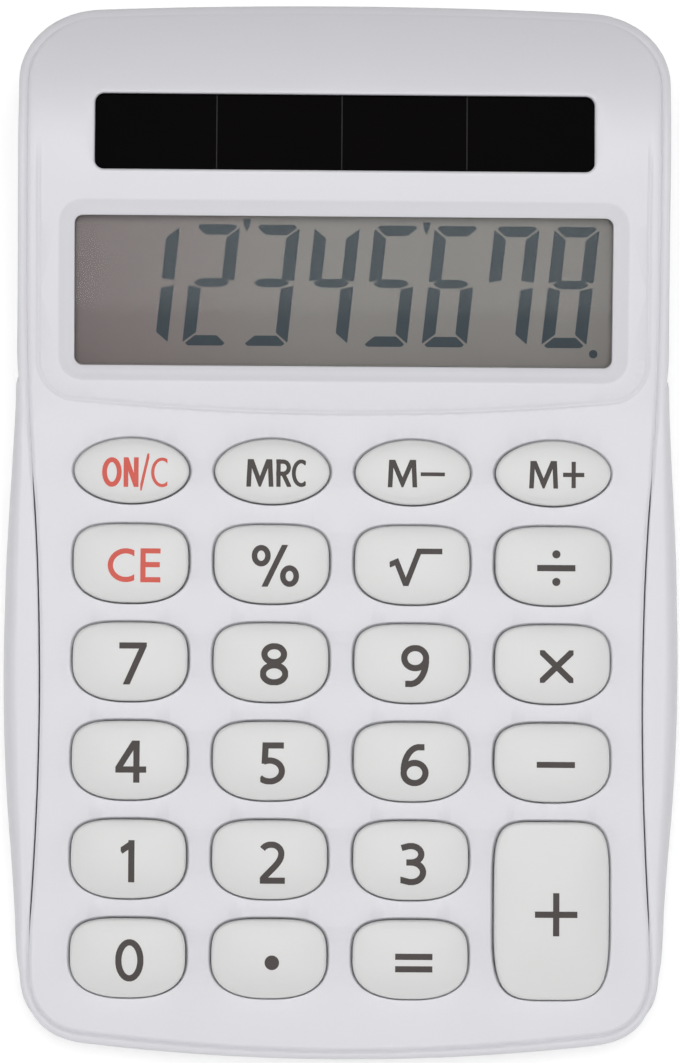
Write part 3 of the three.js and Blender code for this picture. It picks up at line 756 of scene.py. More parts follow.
@dataclass
class Outline:
    """Plan of the case: its silhouette, the line round its top and the joint beside each grip.

    The line runs on from the joint between housing and grip, as a soft groove, round the foot and
    the head. The strip outside it is one even surface that the joint crosses at its two ends.
    Arrays run counterclockwise from the middle of the front edge, and insets start at the
    silhouette.

    Attributes:
        front_turn: how far the handles of the front corners' curves reach into them, as a share,
            and how fast the side widens where it starts.
        back_turn: the same for the back corners.
        sides: rows of place along the side as a share of the keyboard's length, half width of the
            silhouette, half width of the line, and how domed the strip between them is.
        joint_foot: shares between which the joint comes in from the silhouette to the line.
        joint_head: shares between which it goes out again.
        opens_foot: shares between which the joint opens from tight to its full gap.
        opens_head: shares between which it closes again.
        joint_gap: width of the joint where it is open, and where it is tight.
        groove: half width and depth of the soft groove that the line is where the joint is tight.
        foot_line: inset of the line in the middle of the front edge and at its corners.
        head_line: inset of the line at the head.
        plain_edge: radius of the strip's edge at the sides and front, and at the back.
        dome_edge: how far in the strip's rounded edge reaches at the widest part, and its height.
        groove_fade: share of the groove's depth that it has lost at the back edge.
        end_steps: steps along half of an end, and round a corner.
        side_steps: steps along a side.
    """

    front_turn: Pair = (0.57, 0.13)
    back_turn: Pair = (0.5523, 0.0)
    sides: tuple[tuple[float, float, float, float], ...] = (
        (0.1216, 34.16, 33.2, 0), (0.15, 34.53, 33.24, 0.1), (0.18, 34.73, 33.19, 0.25),
        (0.212, 34.88, 33.12, 0.4), (0.243, 35.04, 32.99, 0.55), (0.305, 35.41, 32.76, 0.75),
        (0.385, 35.93, 32.53, 0.92), (0.46, 36.27, 32.41, 1), (0.54, 36.46, 32.36, 1),
        (0.62, 36.52, 32.42, 1), (0.7, 36.44, 32.55, 1), (0.775, 36.3, 32.76, 0.95),
        (0.84, 36.06, 33.02, 0.85), (0.87, 35.93, 33.17, 0.78), (0.9, 35.78, 33.32, 0.7),
        (0.93, 35.65, 33.44, 0.6), (0.965, 35.49, 33.63, 0.46), (1, 35.35, 33.77, 0.34),
        (1.06, 35.2, 33.91, 0.16), (1.12, 35.1, 34.01, 0.05), (1.2, 35.06, 34.05, 0),
        (1.3, 35.05, 34.05, 0), (1.4972, 35.05, 34.05, 0),
    )
    joint_foot: Pair = (0.03, 0.17)
    joint_head: Pair = (0.92, 1.1)
    opens_foot: Pair = (0.175, 0.24)
    opens_head: Pair = (0.85, 0.91)
    joint_gap: Pair = (0.13, 0.003)
    groove: Pair = (0.42, 0.27)
    foot_line: Pair = (0.78, 0.98)
    head_line: float = 1.0
    plain_edge: Pair = (0.55, 0.45)
    dome_edge: Pair = (1.5, 5.0)
    groove_fade: float = 0.9
    end_steps: tuple[int, int] = (16, 18)
    side_steps: int = 120
    shell: np.ndarray = field(init=False)
    normal: np.ndarray = field(init=False)
    line: np.ndarray = field(init=False)
    border: np.ndarray = field(init=False)
    parted: np.ndarray = field(init=False)
    grip: np.ndarray = field(init=False)
    tight: np.ndarray = field(init=False)
    reach: np.ndarray = field(init=False)
    height: np.ndarray = field(init=False)
    groove_depth: np.ndarray = field(init=False)

    def __post_init__(self) -> None:
        """Work out the whole outline, counterclockwise from the middle of the front edge."""
        front = self.end_curve(FORM.foot_half, FORM.foot_corner, FORM.front_bow, *self.front_turn)
        back = self.end_curve(FORM.head_half, FORM.head_corner, FORM.back_bow, *self.back_turn)
        back = back[::-1] * [1, -1] + [0, FORM.length]
        y = np.linspace(front[-1, 1], back[0, 1], self.side_steps + 1)[1:-1]
        half, line_half, dome = self.along_side(y)
        right = np.vstack([front, np.column_stack([half, y]), back])
        self.shell, self.normal = self.mirrored(right)
        at = self.shell[:, 1] / FORM.display_start
        middle, corner = self.foot_line
        across = np.linspace(0, 1, len(front))
        self.line = self.both(
            middle + (corner - middle) * eased(0, 0.5, across), half - line_half,
            np.full(len(back), self.head_line),
        )
        self.parted = 1 - eased(*self.joint_foot, at) + eased(*self.joint_head, at)
        self.tight = 1 - eased(*self.opens_foot, at) + eased(*self.opens_head, at)
        wide, fine = self.joint_gap
        gap = wide + (fine - wide) * self.tight
        self.border = (self.line + gap / 2) * (1 - self.parted) + gap * self.parted
        self.grip = self.border - gap
        dome = self.both(np.zeros(len(front)), dome, np.zeros(len(back)))
        plain, back_edge = self.plain_edge
        far = eased(FORM.length - FORM.head_corner, FORM.length, self.shell[:, 1])
        edge = plain + (back_edge - plain) * far
        reach, height = self.dome_edge
        self.reach = edge + (reach - edge) * dome
        self.height = edge + (height - edge) * dome
        self.groove_depth = self.groove[1] * self.tight * (1 - self.groove_fade * far)

    @staticmethod
    def both(front: np.ndarray, side: np.ndarray, back: np.ndarray) -> np.ndarray:
        """Values round the whole outline, from those along its right half."""
        right = np.concatenate([front, side, back])
        return np.concatenate([right, right[1:-1][::-1]])

    def end_curve(
        self, half: float, corner: float, bow: float, reach: float, flare: float
    ) -> np.ndarray:
        """Bowed end and corner, from the middle of the end to the start of the side.

        Args:
            half: half of the width where the side starts.
            corner: size of the corner.
            bow: how far the end bows out in its middle.
            reach: how far the curve's handles reach into the corner, as a share of it.
            flare: how fast the side widens where it starts.

        Returns:
            Points from the middle to the side.
        """
        start = half - corner
        soft = reach * corner
        bow_steps, turn_steps = self.end_steps
        bowed = bezier([(0, 0), (start / 2, 0), (start, bow)], bow_steps)
        turning = bezier([
            (start, bow), (start + soft, bow + soft * 2 * bow / start),
            (half - soft * flare, bow + corner - soft), (half, bow + corner),
        ], turn_steps)
        return np.vstack([bowed, turning[1:]])

    def along_side(self, y: np.ndarray) -> tuple[np.ndarray, ...]:
        """Smooth curves through the rows of the side.

        Args:
            y: plan places.

        Returns:
            Half width of the silhouette and of the line, and the dome's share.
        """
        shares, *columns = np.array(self.sides).T
        at = y / FORM.display_start
        row = np.clip(np.searchsorted(shares, at) - 1, 0, len(shares) - 2)
        span = shares[row + 1] - shares[row]
        t = np.clip((at - shares[row]) / span, 0, 1)
        curves = []
        for values in columns:
            slope = np.gradient(values, shares)
            curves.append(
                (2 * t ** 3 - 3 * t ** 2 + 1) * values[row]
                + (t ** 3 - 2 * t ** 2 + t) * span * slope[row]
                + (3 * t ** 2 - 2 * t ** 3) * values[row + 1]
                + (t ** 3 - t ** 2) * span * slope[row + 1]
            )
        half, line_half, dome = curves
        return np.minimum(half, cad_box[1][0] / MM), line_half, np.clip(dome, 0, 1)

    @staticmethod
    def mirrored(right: np.ndarray) -> tuple[np.ndarray, np.ndarray]:
        """Add the left side, and work out the outward normals.

        Args:
            right: points from the middle of the front to the middle of the back.

        Returns:
            The whole loop and its normals.
        """
        left = right[1:-1][::-1] * [-1, 1]
        loop = np.vstack([right, left])
        return loop, outward(loop)

    def ring(self, inset: float | np.ndarray) -> np.ndarray:
        """Silhouette moved inwards."""
        return self.shell - self.normal * np.reshape(inset, (-1, 1))

    def fall(self, inset: np.ndarray) -> np.ndarray:
        """How far the surface lies below the flat top: rounded edge, strip and groove."""
        near = np.clip(inset / self.reach, 0, 1)
        edge = self.height * (1 - np.sqrt(1 - (1 - near) ** 2))
        half = self.groove[0]
        near_line = 1 - np.clip(np.abs(inset - self.line) / half, 0, 1)
        return edge + self.groove_depth * near_line ** 2

    def strip_ring(self, inset: np.ndarray, drop: np.ndarray | float = 0.0) -> np.ndarray:
        """Ring on the strip or on the flat top inside it, sunk by a further drop."""
        ring = self.ring(inset)
        return raised(ring, FORM.top(ring[:, 1]) - self.fall(inset) - drop)


OUTLINE = Outline()


class KeyShape(Enum):
    """Width, depth and the two superellipse powers of a key's outline, above and below."""

    ROUNDED = (12.3, 8.42, 3.6, 2.5)
    ELLIPSE = (12.3, 6.95, 2.0, 2.0)
    TALL = (12.3, 18.97, 5.5, 4.2)

    def outline(self, growth: float = 0.0, sides: int = 112) -> np.ndarray:
        """Closed loop of the key's outline.

        Args:
            growth: how much larger it is on every side.
            sides: how many points it has.

        Returns:
            The loop, counterclockwise.
        """
        width, depth, upper, lower = self.value
        angles = np.arange(sides) * 2 * math.pi / sides
        cos, sin = np.cos(angles), np.sin(angles)
        power = 2 / np.where(sin >= 0, upper, lower)
        loop = np.column_stack([
            (width / 2) * np.sign(cos) * np.abs(cos) ** power,
            (depth / 2) * np.sign(sin) * np.abs(sin) ** power,
        ])
        return loop + growth * outward(loop)

    def share(self, x: np.ndarray, y: np.ndarray) -> np.ndarray:
        """How far out a point lies, from 0 at the middle to 1 on the outline."""
        width, depth, upper, lower = self.value
        power = np.where(y >= 0, upper, lower)
        return (np.abs(2 * x / width) ** power + np.abs(2 * y / depth) ** power) ** (1 / power)


@dataclass(frozen=True)
class KeyPlace:
    """One key: its node, the middle of its opening on the keyboard, and its shape."""

    node: str
    x: float
    y: float
    shape: KeyShape


def key_places() -> list[KeyPlace]:
    """Lay out the keyboard's four columns and six rows."""
    column_pitch, row_pitch, top_row_pitch, first_row = 15.1, 10.55, 9.97, 10.6
    middle_column, last_column = 1.5, 3
    rows = [
        ["0", "point", "equals"],
        ["1", "2", "3"],
        ["4", "5", "6", "minus"],
        ["7", "8", "9", "multiply"],
        ["clear_entry", "percent", "root", "divide"],
        ["on_clear", "memory_recall", "memory_minus", "memory_plus"],
    ]
    places = []
    last = len(rows) - 1
    for row, names in enumerate(rows):
        y = first_row + row * row_pitch
        shape = KeyShape.ROUNDED
        if row == last:
            y += top_row_pitch - row_pitch
            shape = KeyShape.ELLIPSE
        for column, name in enumerate(names):
            x = (column - middle_column) * column_pitch
            places.append(KeyPlace(f"key_{name}", x, y, shape))
    x = (last_column - middle_column) * column_pitch
    places.append(KeyPlace("key_plus", x, first_row + row_pitch / 2, KeyShape.TALL))
    return places


KEYS = key_places()


@dataclass
class Opening:
    """An opening through the housing, as rings from the top surface to the underside.

    Attributes:
        middle: where it lies on the unrolled top surface.
        outline: gives its loop grown by a distance.
        steps: growth and depth of each ring, from the surface down.
        flat_from: the first ring that lies in a flat plane instead of following the surface.
        lean: how far the opening's rings move sideways on their way down.
        lean_depth: depth at which they have moved all the way.
    """

    middle: Pair
    outline: Callable[[float], np.ndarray]
    steps: Sequence[Pair]
    flat_from: int | None = None
    lean: Pair = (0.0, 0.0)
    lean_depth: float = 0.36

    def loop(self, step: int) -> np.ndarray:
        """The loop of one ring on the unrolled surface."""
        growth, depth = self.steps[step]
        leaned = min(depth / self.lean_depth, 1.0)
        return self.outline(growth) + np.array(self.middle) + np.array(self.lean) * leaned

    def add_rings(self, pile: MeshPile) -> tuple[np.ndarray, np.ndarray]:
        """Add the rings to the housing.

        Args:
            pile: the housing's mesh.

        Returns:
            The numbers of the ring at the surface and of the one at the underside.
        """
        flat = np.array(FORM.tilted(self.middle[1]))
        rings = []
        for index, (_, depth) in enumerate(self.steps):
            loop = self.loop(index)
            if self.flat_from is None or index < self.flat_from:
                rings.append(FORM.lift(loop, depth))
                continue
            local = np.column_stack([
                loop[:, 0], loop[:, 1] - self.middle[1], np.full(len(loop), -depth),
            ])
            rings.append(local @ flat[:3, :3].T + flat[:3, 3])
        return pile.rings(rings)


@dataclass
class Housing:
    """Front housing: one shell with its key openings, bezel, solar window and step line."""

    key_gap: float = 0.25
    key_edge: float = 0.18
    key_ledge: float = 0.11
    key_ledge_depth: float = 0.38
    key_squeeze: float = 0.68
    key_offset: Pair = (-0.01, 0.055)
    window: Triple = (57.95, 16.12, 0.9)
    window_margin: float = 4.43
    bezel_width: float = 1.5
    bezel_depth: float = 0.7
    bezel_lip: Pair = (0.32, 0.07)
    bezel_hollow: float = 0.85
    solar: Triple = (53.68, 8.33, 1.0)
    solar_edge: float = 0.3
    solar_along_roll: float = 4.62
    solar_border: float = 1.6
    solar_ledge: float = 1.2
    step_half: float = 32.8
    step_corner: float = 4.2
    step_low: float = 69.19
    step_bow_radius: float = 312.0
    step_end: float = 99.6
    step_fade: float = 5.0
    step_width: float = 0.32
    step_depth: float = 0.13
    step_spacing: float = 0.5
    grid_half: float = 33.0
    grid_columns: int = 27
    roll_spacing: float = 0.9
    step_clear: float = 0.25
    edge_clear: float = 0.3
    under_clear: float = 0.5
    joint_round: Pair = (0.5, 0.2)
    seam_edge: tuple[Pair, ...] = ((0.0, 0.15), (0.04, 0.04), (0.15, 0.0))

    @property
    def window_middle(self) -> float:
        """Distance of the display window's middle along the surface."""
        return FORM.keyboard_end + self.window_margin + self.window[1] / 2

    @property
    def solar_middle(self) -> float:
        """Distance of the solar window's middle along the surface."""
        return FORM.keyboard_end + FORM.facet_length + self.solar_along_roll

    def openings(self) -> list[Opening]:
        """Every opening of the housing."""
        made = []
        for key in KEYS:
            steps = self.edge_steps(self.key_edge, self.key_gap)
            steps += [(self.key_ledge, self.key_ledge_depth), (self.key_ledge, FORM.wall)]
            x, y = self.key_offset
            made.append(Opening(
                (key.x + x, key.y + y), self.squeezed(key.shape), steps, lean=(-x, -y),
            ))
        made.append(Opening((0, self.window_middle), self.grown(self.window), self.bezel_steps()))
        edge = self.edge_steps(self.solar_edge, 0)
        ledge = [
            (0.0, self.solar_ledge), (self.solar_border, self.solar_ledge),
            (self.solar_border, FORM.wall),
        ]
        made.append(Opening(
            (0, self.solar_middle), self.grown(self.solar), edge + ledge, flat_from=len(edge),
        ))
        return made

    def squeezed(self, shape: KeyShape) -> Callable[[float], np.ndarray]:
        """Outline function of a key's opening, tighter above and below than at the sides."""
        def outline(growth: float) -> np.ndarray:
            """The key's outline grown by less along y."""
            plain = shape.outline()
            return plain + (shape.outline(growth) - plain) * [1, self.key_squeeze]

        return outline

    @staticmethod
    def grown(size: Triple) -> Callable[[float], np.ndarray]:
        """Outline function of a rounded rectangle."""
        width, depth, corner = size

        def outline(growth: float) -> np.ndarray:
            """The rectangle grown on every side."""
            return rounded_rectangle(width + 2 * growth, depth + 2 * growth, corner + growth)

        return outline

    @staticmethod
    def edge_steps(radius: float, growth: float, steps: int = 5) -> list[Pair]:
        """Rings of a rounded edge, from the surface to the wall below it."""
        return [
            (growth + radius * (1 - math.sin(angle)), radius * (1 - math.cos(angle)))
            for angle in quarter_turn(steps)
        ]

    def bezel_steps(self) -> list[Pair]:
        """Rings of the sloping rim round the display: soft lip, hollow slope, edge and wall."""
        width, depth = self.bezel_width, self.bezel_depth
        lip, drop = self.bezel_lip
        start = [(width + lip, 0.0), (width + lip / 2, 0.02), (width, drop)]
        slope = [
            (width * share, drop + (depth - 0.12) * (1 - share) ** self.bezel_hollow)
            for share in (0.8, 0.6, 0.4, 0.2)
        ]
        edge = [(0.07, depth - 0.03), (0.02, depth), (0.0, depth + 0.06)]
        return start + slope + edge + [(0.0, FORM.wall)]

    def step_path(self) -> np.ndarray:
        """Line of the U-shaped step round the display panel, on the unrolled surface."""
        centre_x = self.step_half - self.step_corner
        low = self.step_low + centre_x ** 2 / (2 * self.step_bow_radius)
        x = np.linspace(0, centre_x, 60)
        bottom = np.column_stack([x, self.step_low + x ** 2 / (2 * self.step_bow_radius)])
        angles = np.linspace(-math.pi / 2, 0, 16)[1:]
        corner = np.column_stack([
            centre_x + self.step_corner * np.cos(angles),
            low + self.step_corner * (1 + np.sin(angles)),
        ])
        rise = np.arange(corner[-1, 1] + self.step_spacing, self.step_end, self.step_spacing)
        side = np.column_stack([np.full(len(rise), self.step_half), rise])
        right = np.vstack([bottom, corner, side])
        return np.vstack([right[::-1] * [-1, 1], right[1:]])

    def step_sink(self, flat: np.ndarray, path: np.ndarray) -> np.ndarray:
        """Depth of the step line at points of the unrolled surface."""
        gaps = np.linalg.norm(flat[:, None, :] - path[None, :, :], axis=2).min(axis=1)
        shape = 0.5 + 0.5 * np.cos(np.clip(gaps / self.step_width, 0, 1) * math.pi)
        fade = 1 - eased(self.step_end - self.step_fade, self.step_end, flat[:, 1])
        return self.step_depth * shape * fade

    def loose_points(self, path: np.ndarray, loops: Sequence[np.ndarray]) -> np.ndarray:
        """Points that shape the surface between the openings: step line, crease and roll."""
        run = np.gradient(path, axis=0)
        run /= np.linalg.norm(run, axis=1)[:, None]
        normal = np.column_stack([run[:, 1], -run[:, 0]])
        offsets = np.linspace(-1, 1, 7) * self.step_width
        lines = np.vstack([path + normal * offset for offset in offsets])
        columns = np.linspace(-self.grid_half, self.grid_half, self.grid_columns)
        crease = FORM.keyboard_end + np.linspace(-1, 1, 7) * FORM.crease_blend
        roll_start = FORM.keyboard_end + FORM.facet_length
        roll_end = roll_start + FORM.roll_turn * FORM.roll_radius
        roll = np.arange(roll_start - 1, roll_end, self.roll_spacing)
        grid = np.array([(x, along) for along in np.concatenate([crease, roll]) for x in columns])
        grid = away_from(grid, path, self.step_width + self.step_clear)
        return between(np.vstack([lines, grid]), loops, self.edge_clear)

    def edge_rings(self) -> list[np.ndarray]:
        """Rings from the flat top to the seam: groove, strip, edge at the joint and side wall."""
        plan = OUTLINE
        turn, drop = (HAIRLINE + size * (1 - plan.tight) for size in self.joint_round)
        start = plan.border + turn
        half = plan.groove[0]
        inner = np.maximum(plan.line - half, start + 3 * RING_STEP)
        insets = [plan.border + turn * (1 - math.cos(angle)) for angle in quarter_turn(5)]
        insets += [
            start + (inner - start) * (1 - math.cos(angle)) for angle in quarter_turn(8)[1:]
        ]
        for share in (-0.7, -0.45, -0.2, 0, 0.2, 0.45, 0.7, 1):
            insets.append(np.maximum(plan.line + half * share, insets[-1] + RING_STEP))
        rings = []
        for inset in insets[::-1]:
            near = np.clip((inset - plan.border) / turn, 0, 1)
            rings.append(plan.strip_ring(inset, drop * (1 - np.sqrt(1 - (1 - near) ** 2))))
        for inset, rise in (*self.seam_edge, (FORM.wall, 0.0)):
            ring = plan.ring(plan.border + inset)
            rings.append(raised(ring, FORM.seam(ring[:, 1]) + rise))
        return rings

    def top_face(
        self, pile: MeshPile, rim: np.ndarray, openings: Sequence[Opening],
        mouths: Sequence[np.ndarray],
    ) -> None:
        """Cover the top inside its rim, with the step line sunk into it.

        Args:
            pile: the housing's mesh.
            rim: the ring where the edge begins.
            openings: the openings.
            mouths: vertex numbers of the rim and of each opening at the surface.
        """
        path = self.step_path()
        loops = [FORM.unroll(rim[:, :2])] + [opening.loop(0) for opening in openings]
        loose = self.loose_points(path, loops)
        sheet = FORM.lift(loose) - [0, 0, 1] * self.step_sink(loose, path)[:, None]
        numbers = np.concatenate([*mouths, pile.add(sheet)])
        pile.triangles(numbers, fill_region(loops[0], loops[1:], loose))

    def underside(
        self, pile: MeshPile, openings: Sequence[Opening], floors: Sequence[np.ndarray]
    ) -> None:
        """Cover the inner face, one wall below the top.

        Args:
            pile: the housing's mesh.
            openings: the openings.
            floors: vertex numbers of the seam's ring and of each opening at the inner face.
        """
        rim = FORM.unroll(OUTLINE.ring(OUTLINE.border + FORM.wall), FORM.wall)
        loops = [rim] + [opening.loop(-1) for opening in openings]
        rows, columns = np.arange(70, 113, 3.0), np.arange(-30, 31, 6.0)
        grid = np.array([(x, along) for along in rows for x in columns])
        grid = between(grid, loops, self.under_clear)
        edge = pile.add(FORM.lift(rim, FORM.wall))
        pile.strip(floors[0], edge)
        numbers = np.concatenate([edge, *floors[1:], pile.add(FORM.lift(grid, FORM.wall))])
        pile.triangles(numbers, fill_region(rim, loops[1:], grid))

    def build(self) -> None:
        """Build the housing and let it stand for its node."""
        pile = MeshPile()
        openings = self.openings()
        edge = self.edge_rings()
        ends = [pile.rings(edge)] + [opening.add_rings(pile) for opening in openings]
        mouths, floors = zip(*ends)
        self.top_face(pile, edge[0], openings, mouths)
        self.underside(pile, openings, floors)
        pile.piece("front_housing", WHITE_SHELL, replaces=["top_cover"])


FOOT_NODES = ("foot_front_left", "foot_front_right", "foot_back_left", "foot_back_right")
SCREW_NODES = tuple(f"case_screw_{number}" for number in range(1, 7))


def node_middle(node: str) -> Pair:
    """Plan place of a node's middle in the case's coordinates, in millimetres."""
    low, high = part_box(node)
    y = (low.y + high.y) / 2 - cad_box[0][1]
    return (low.x + high.x) / 2 / MM, y / MM


@dataclass
class RearCase:
    """Rear case: a tray whose sides rise into the two grips, with screw wells and foot seats."""

    bottom_edge: float = 0.85
    seam_gap: float = 0.14
    rim_round: float = 0.25
    rim_low: float = 0.05
    grip_rise: Pair = (0.06, 0.36)
    joint_round: float = 0.2
    grip_drop: float = 0.06
    well_radius: float = 2.09
    well_depth: float = 1.5
    seat_radius: float = 4.12
    seat_depth: float = 0.7

    def rings(self) -> list[np.ndarray]:
        """Rings from the bottom face, up the outside, over the rim and down to the floor."""
        plan = OUTLINE
        rings = []
        for angle in quarter_turn(7):
            ring = plan.ring(self.bottom_edge * (1 - math.sin(angle)))
            rise = self.bottom_edge * (1 - math.cos(angle))
            rings.append(raised(ring, FORM.stand + rise))
        rings += self.rim_rings()
        inside_ring = plan.ring(plan.border + FORM.wall)
        rings.append(raised(inside_ring, FORM.seam(inside_ring[:, 1]) - self.seam_gap))
        rings.append(raised(inside_ring, FORM.floor_top))
        return rings

    def rim_rings(self) -> list[np.ndarray]:
        """Rings over the rim: a plain ledge under the seam, which stands up as the grips."""
        plan = OUTLINE
        stands = eased(*self.grip_rise, plan.grip)
        ledge = FORM.seam(plan.shell[:, 1]) - self.seam_gap
        low = np.maximum(ledge - self.rim_round, FORM.stand + self.bottom_edge + self.rim_low)
        turn = HAIRLINE + self.joint_round * (1 - plan.tight)
        outer = np.maximum(plan.grip - turn, 0)
        crest = np.clip(plan.line - plan.groove[0], 0, outer)
        insets = []
        for angle in quarter_turn(15):
            turned = 1 - math.cos(angle)
            insets.append((crest * turned, self.rim_round * turned, math.sin(angle)))
        for share in np.linspace(0, 1, 7)[1:]:
            insets.append((crest + (outer - crest) * share, self.rim_round, 1.0))
        for angle in quarter_turn(4)[1:]:
            insets.append((outer + turn * math.sin(angle), self.rim_round, 1.0))
        rings = []
        for number, (standing, flat, climb) in enumerate(insets):
            near = np.clip((standing - outer) / turn, 0, 1)
            drop = turn * (1 - np.sqrt(1 - near ** 2)) + self.grip_drop * (1 - plan.tight)
            ring = plan.strip_ring(standing, drop)
            level = low + (ledge - low) * climb
            rim = flat + HAIRLINE * number
            inset = rim + (standing - rim) * stands
            height = level + (ring[:, 2] - level) * stands
            rings.append(raised(plan.ring(inset), np.maximum(height, level)))
        rings.append(raised(plan.ring(inset + RING_STEP), ledge))
        return rings

    @staticmethod
    def recess(
        pile: MeshPile, node: str, radius: float, depth: float, sides: int
    ) -> tuple[np.ndarray, np.ndarray]:
        """Sink a round recess with a soft edge into the bottom face.

        Args:
            pile: the rear case's mesh.
            node: the node that sits in it.
            radius: its radius.
            depth: its depth.
            sides: how many sides it has.

        Returns:
            The loop of its edge and the vertex numbers there.
        """
        x, y = node_middle(node)
        steps = [(radius + 0.12, 0), (radius + 0.04, 0.03), (radius, 0.12), (radius, depth)]
        rings = [raised(circle(r, sides, x, y), FORM.stand + rise) for r, rise in steps]
        mouth, floor = pile.rings(rings)
        pile.cap(floor, np.array([x, y, FORM.stand + depth]))
        return rings[0][:, :2], mouth

    def build(self) -> None:
        """Build the rear case and let it stand for its node."""
        pile = MeshPile()
        outer = self.rings()
        low, high = pile.rings(outer)
        pile.triangles(high, fill_region(outer[-1][:, :2]))
        recesses = [
            self.recess(pile, node, self.well_radius, self.well_depth, 40) for node in SCREW_NODES
        ]
        recesses += [
            self.recess(pile, node, self.seat_radius, self.seat_depth, 64) for node in FOOT_NODES
        ]
        edges, mouths = zip(*recesses)
        pile.triangles(np.concatenate([low, *mouths]), fill_region(outer[0][:, :2], edges))
        pile.piece("rear_shell", WHITE_SHELL, replaces=["rear_case"])


@dataclass
class Stroke:
    """One stroke of a printed sign: a path in millimetres that a pen of one width follows."""

    path: np.ndarray
    closed: bool = False

    def loops(self, half: float) -> list[np.ndarray]:
        """Edges of the stroke.

        Args:
            half: half of the pen's width.

        Returns:
            One loop, or the outer and the inner one of a closed stroke.
        """
        path = self.path
        if self.closed:
            run_in = path - np.roll(path, 1, axis=0)
            run_out = np.roll(path, -1, axis=0) - path
        else:
            run_in = np.diff(path, axis=0, prepend=2 * path[:1] - path[1:2])
            run_out = np.diff(path, axis=0, append=2 * path[-1:] - path[-2:-1])
        run_in /= np.linalg.norm(run_in, axis=1)[:, None]
        run_out /= np.linalg.norm(run_out, axis=1)[:, None]
        mean = run_in + run_out
        mean /= np.linalg.norm(mean, axis=1)[:, None]
        normal = np.column_stack([-mean[:, 1], mean[:, 0]])
        mitre = 1 / np.maximum((mean * run_out).sum(axis=1), 0.35)
        shift = normal * (half * mitre)[:, None]
        if self.closed:
            return [path - shift, path + shift]
        return [np.vstack([path + shift, (path - shift)[::-1]])]


def line(*corners: Pair, spacing: float = 0.35) -> Stroke:
    """Straight stroke through corners, with points close enough to follow a crown."""
    points = [np.array(corners[:1], float)]
    for a, b in zip(corners, corners[1:]):
        count = max(1, math.ceil(math.dist(a, b) / spacing))
        points.append(np.linspace(a, b, count + 1)[1:])
    return Stroke(np.vstack(points))


def arc(x: float, y: float, rx: float, ry: float, start: float, end: float) -> np.ndarray:
    """Points on an elliptical arc, with its angles in degrees."""
    count = max(4, round(abs(end - start) / 12))
    angles = np.radians(np.linspace(start, end, count + 1))
    return np.column_stack([x + rx * np.cos(angles), y + ry * np.sin(angles)])


def ring(x: float, y: float, rx: float, ry: float) -> Stroke:
    """Closed elliptical stroke."""
    return Stroke(arc(x, y, rx, ry, 0, 360)[:-1], closed=True)


def curve(*parts: np.ndarray | Pair) -> Stroke:
    """Open stroke through arcs and single points, one after the other."""
    return Stroke(np.vstack([np.atleast_2d(np.array(part, float)) for part in parts]))


@dataclass
class Sign:
    """A printed sign: its strokes in a box of its own, and where the box lies on the key.

    Attributes:
        strokes: the strokes, from the box's lower left corner.
        box: width and height, to which the strokes are cut.
        corner: the box's lower left corner from the key's middle.
        pen: width of the stroke.
        dots: middle and radius of round dots.
    """

    strokes: list[Stroke]
    box: Pair
    corner: Pair
    pen: float = 0.67
    dots: tuple[Triple, ...] = ()

    def flat_mesh(self) -> tuple[np.ndarray, np.ndarray]:
        """Join the strokes into one flat mesh without overlaps.

        Returns:
            Points in the key's plane, and triangles.
        """
        shapes = [stroke.loops(self.pen / 2) for stroke in self.strokes]
        shapes += [[circle(radius, 28, x, y)] for x, y, radius in self.dots]
        width, height = self.box
        frame_loop = line((0, 0), (width, 0), (width, height), (0, height), (0, 0)).path[:-1]
        points, edges = [], []
        for loop in [frame_loop, *(loop for shape in shapes for loop in shape)]:
            start = len(points)
            points += [Vector((float(x), float(y))) for x, y in loop]
            edges += [(start + i, start + (i + 1) % len(loop)) for i in range(len(loop))]
        flat, _, faces, _, _, _ = delaunay_2d_cdt(points, edges, [], 0, 1e-5, False)
        verts = np.array([tuple(v) for v in flat])
        triangles = np.array([tuple(face) for face in faces])
        centres = verts[triangles].mean(axis=1)
        covered = np.zeros(len(triangles), bool)
        for shape in shapes:
            hit = inside(centres, shape[0])
            for hole in shape[1:]:
                hit &= ~inside(centres, hole)
            covered |= hit
        covered &= inside(centres, frame_loop)
        return verts + np.array(self.corner), triangles[covered]


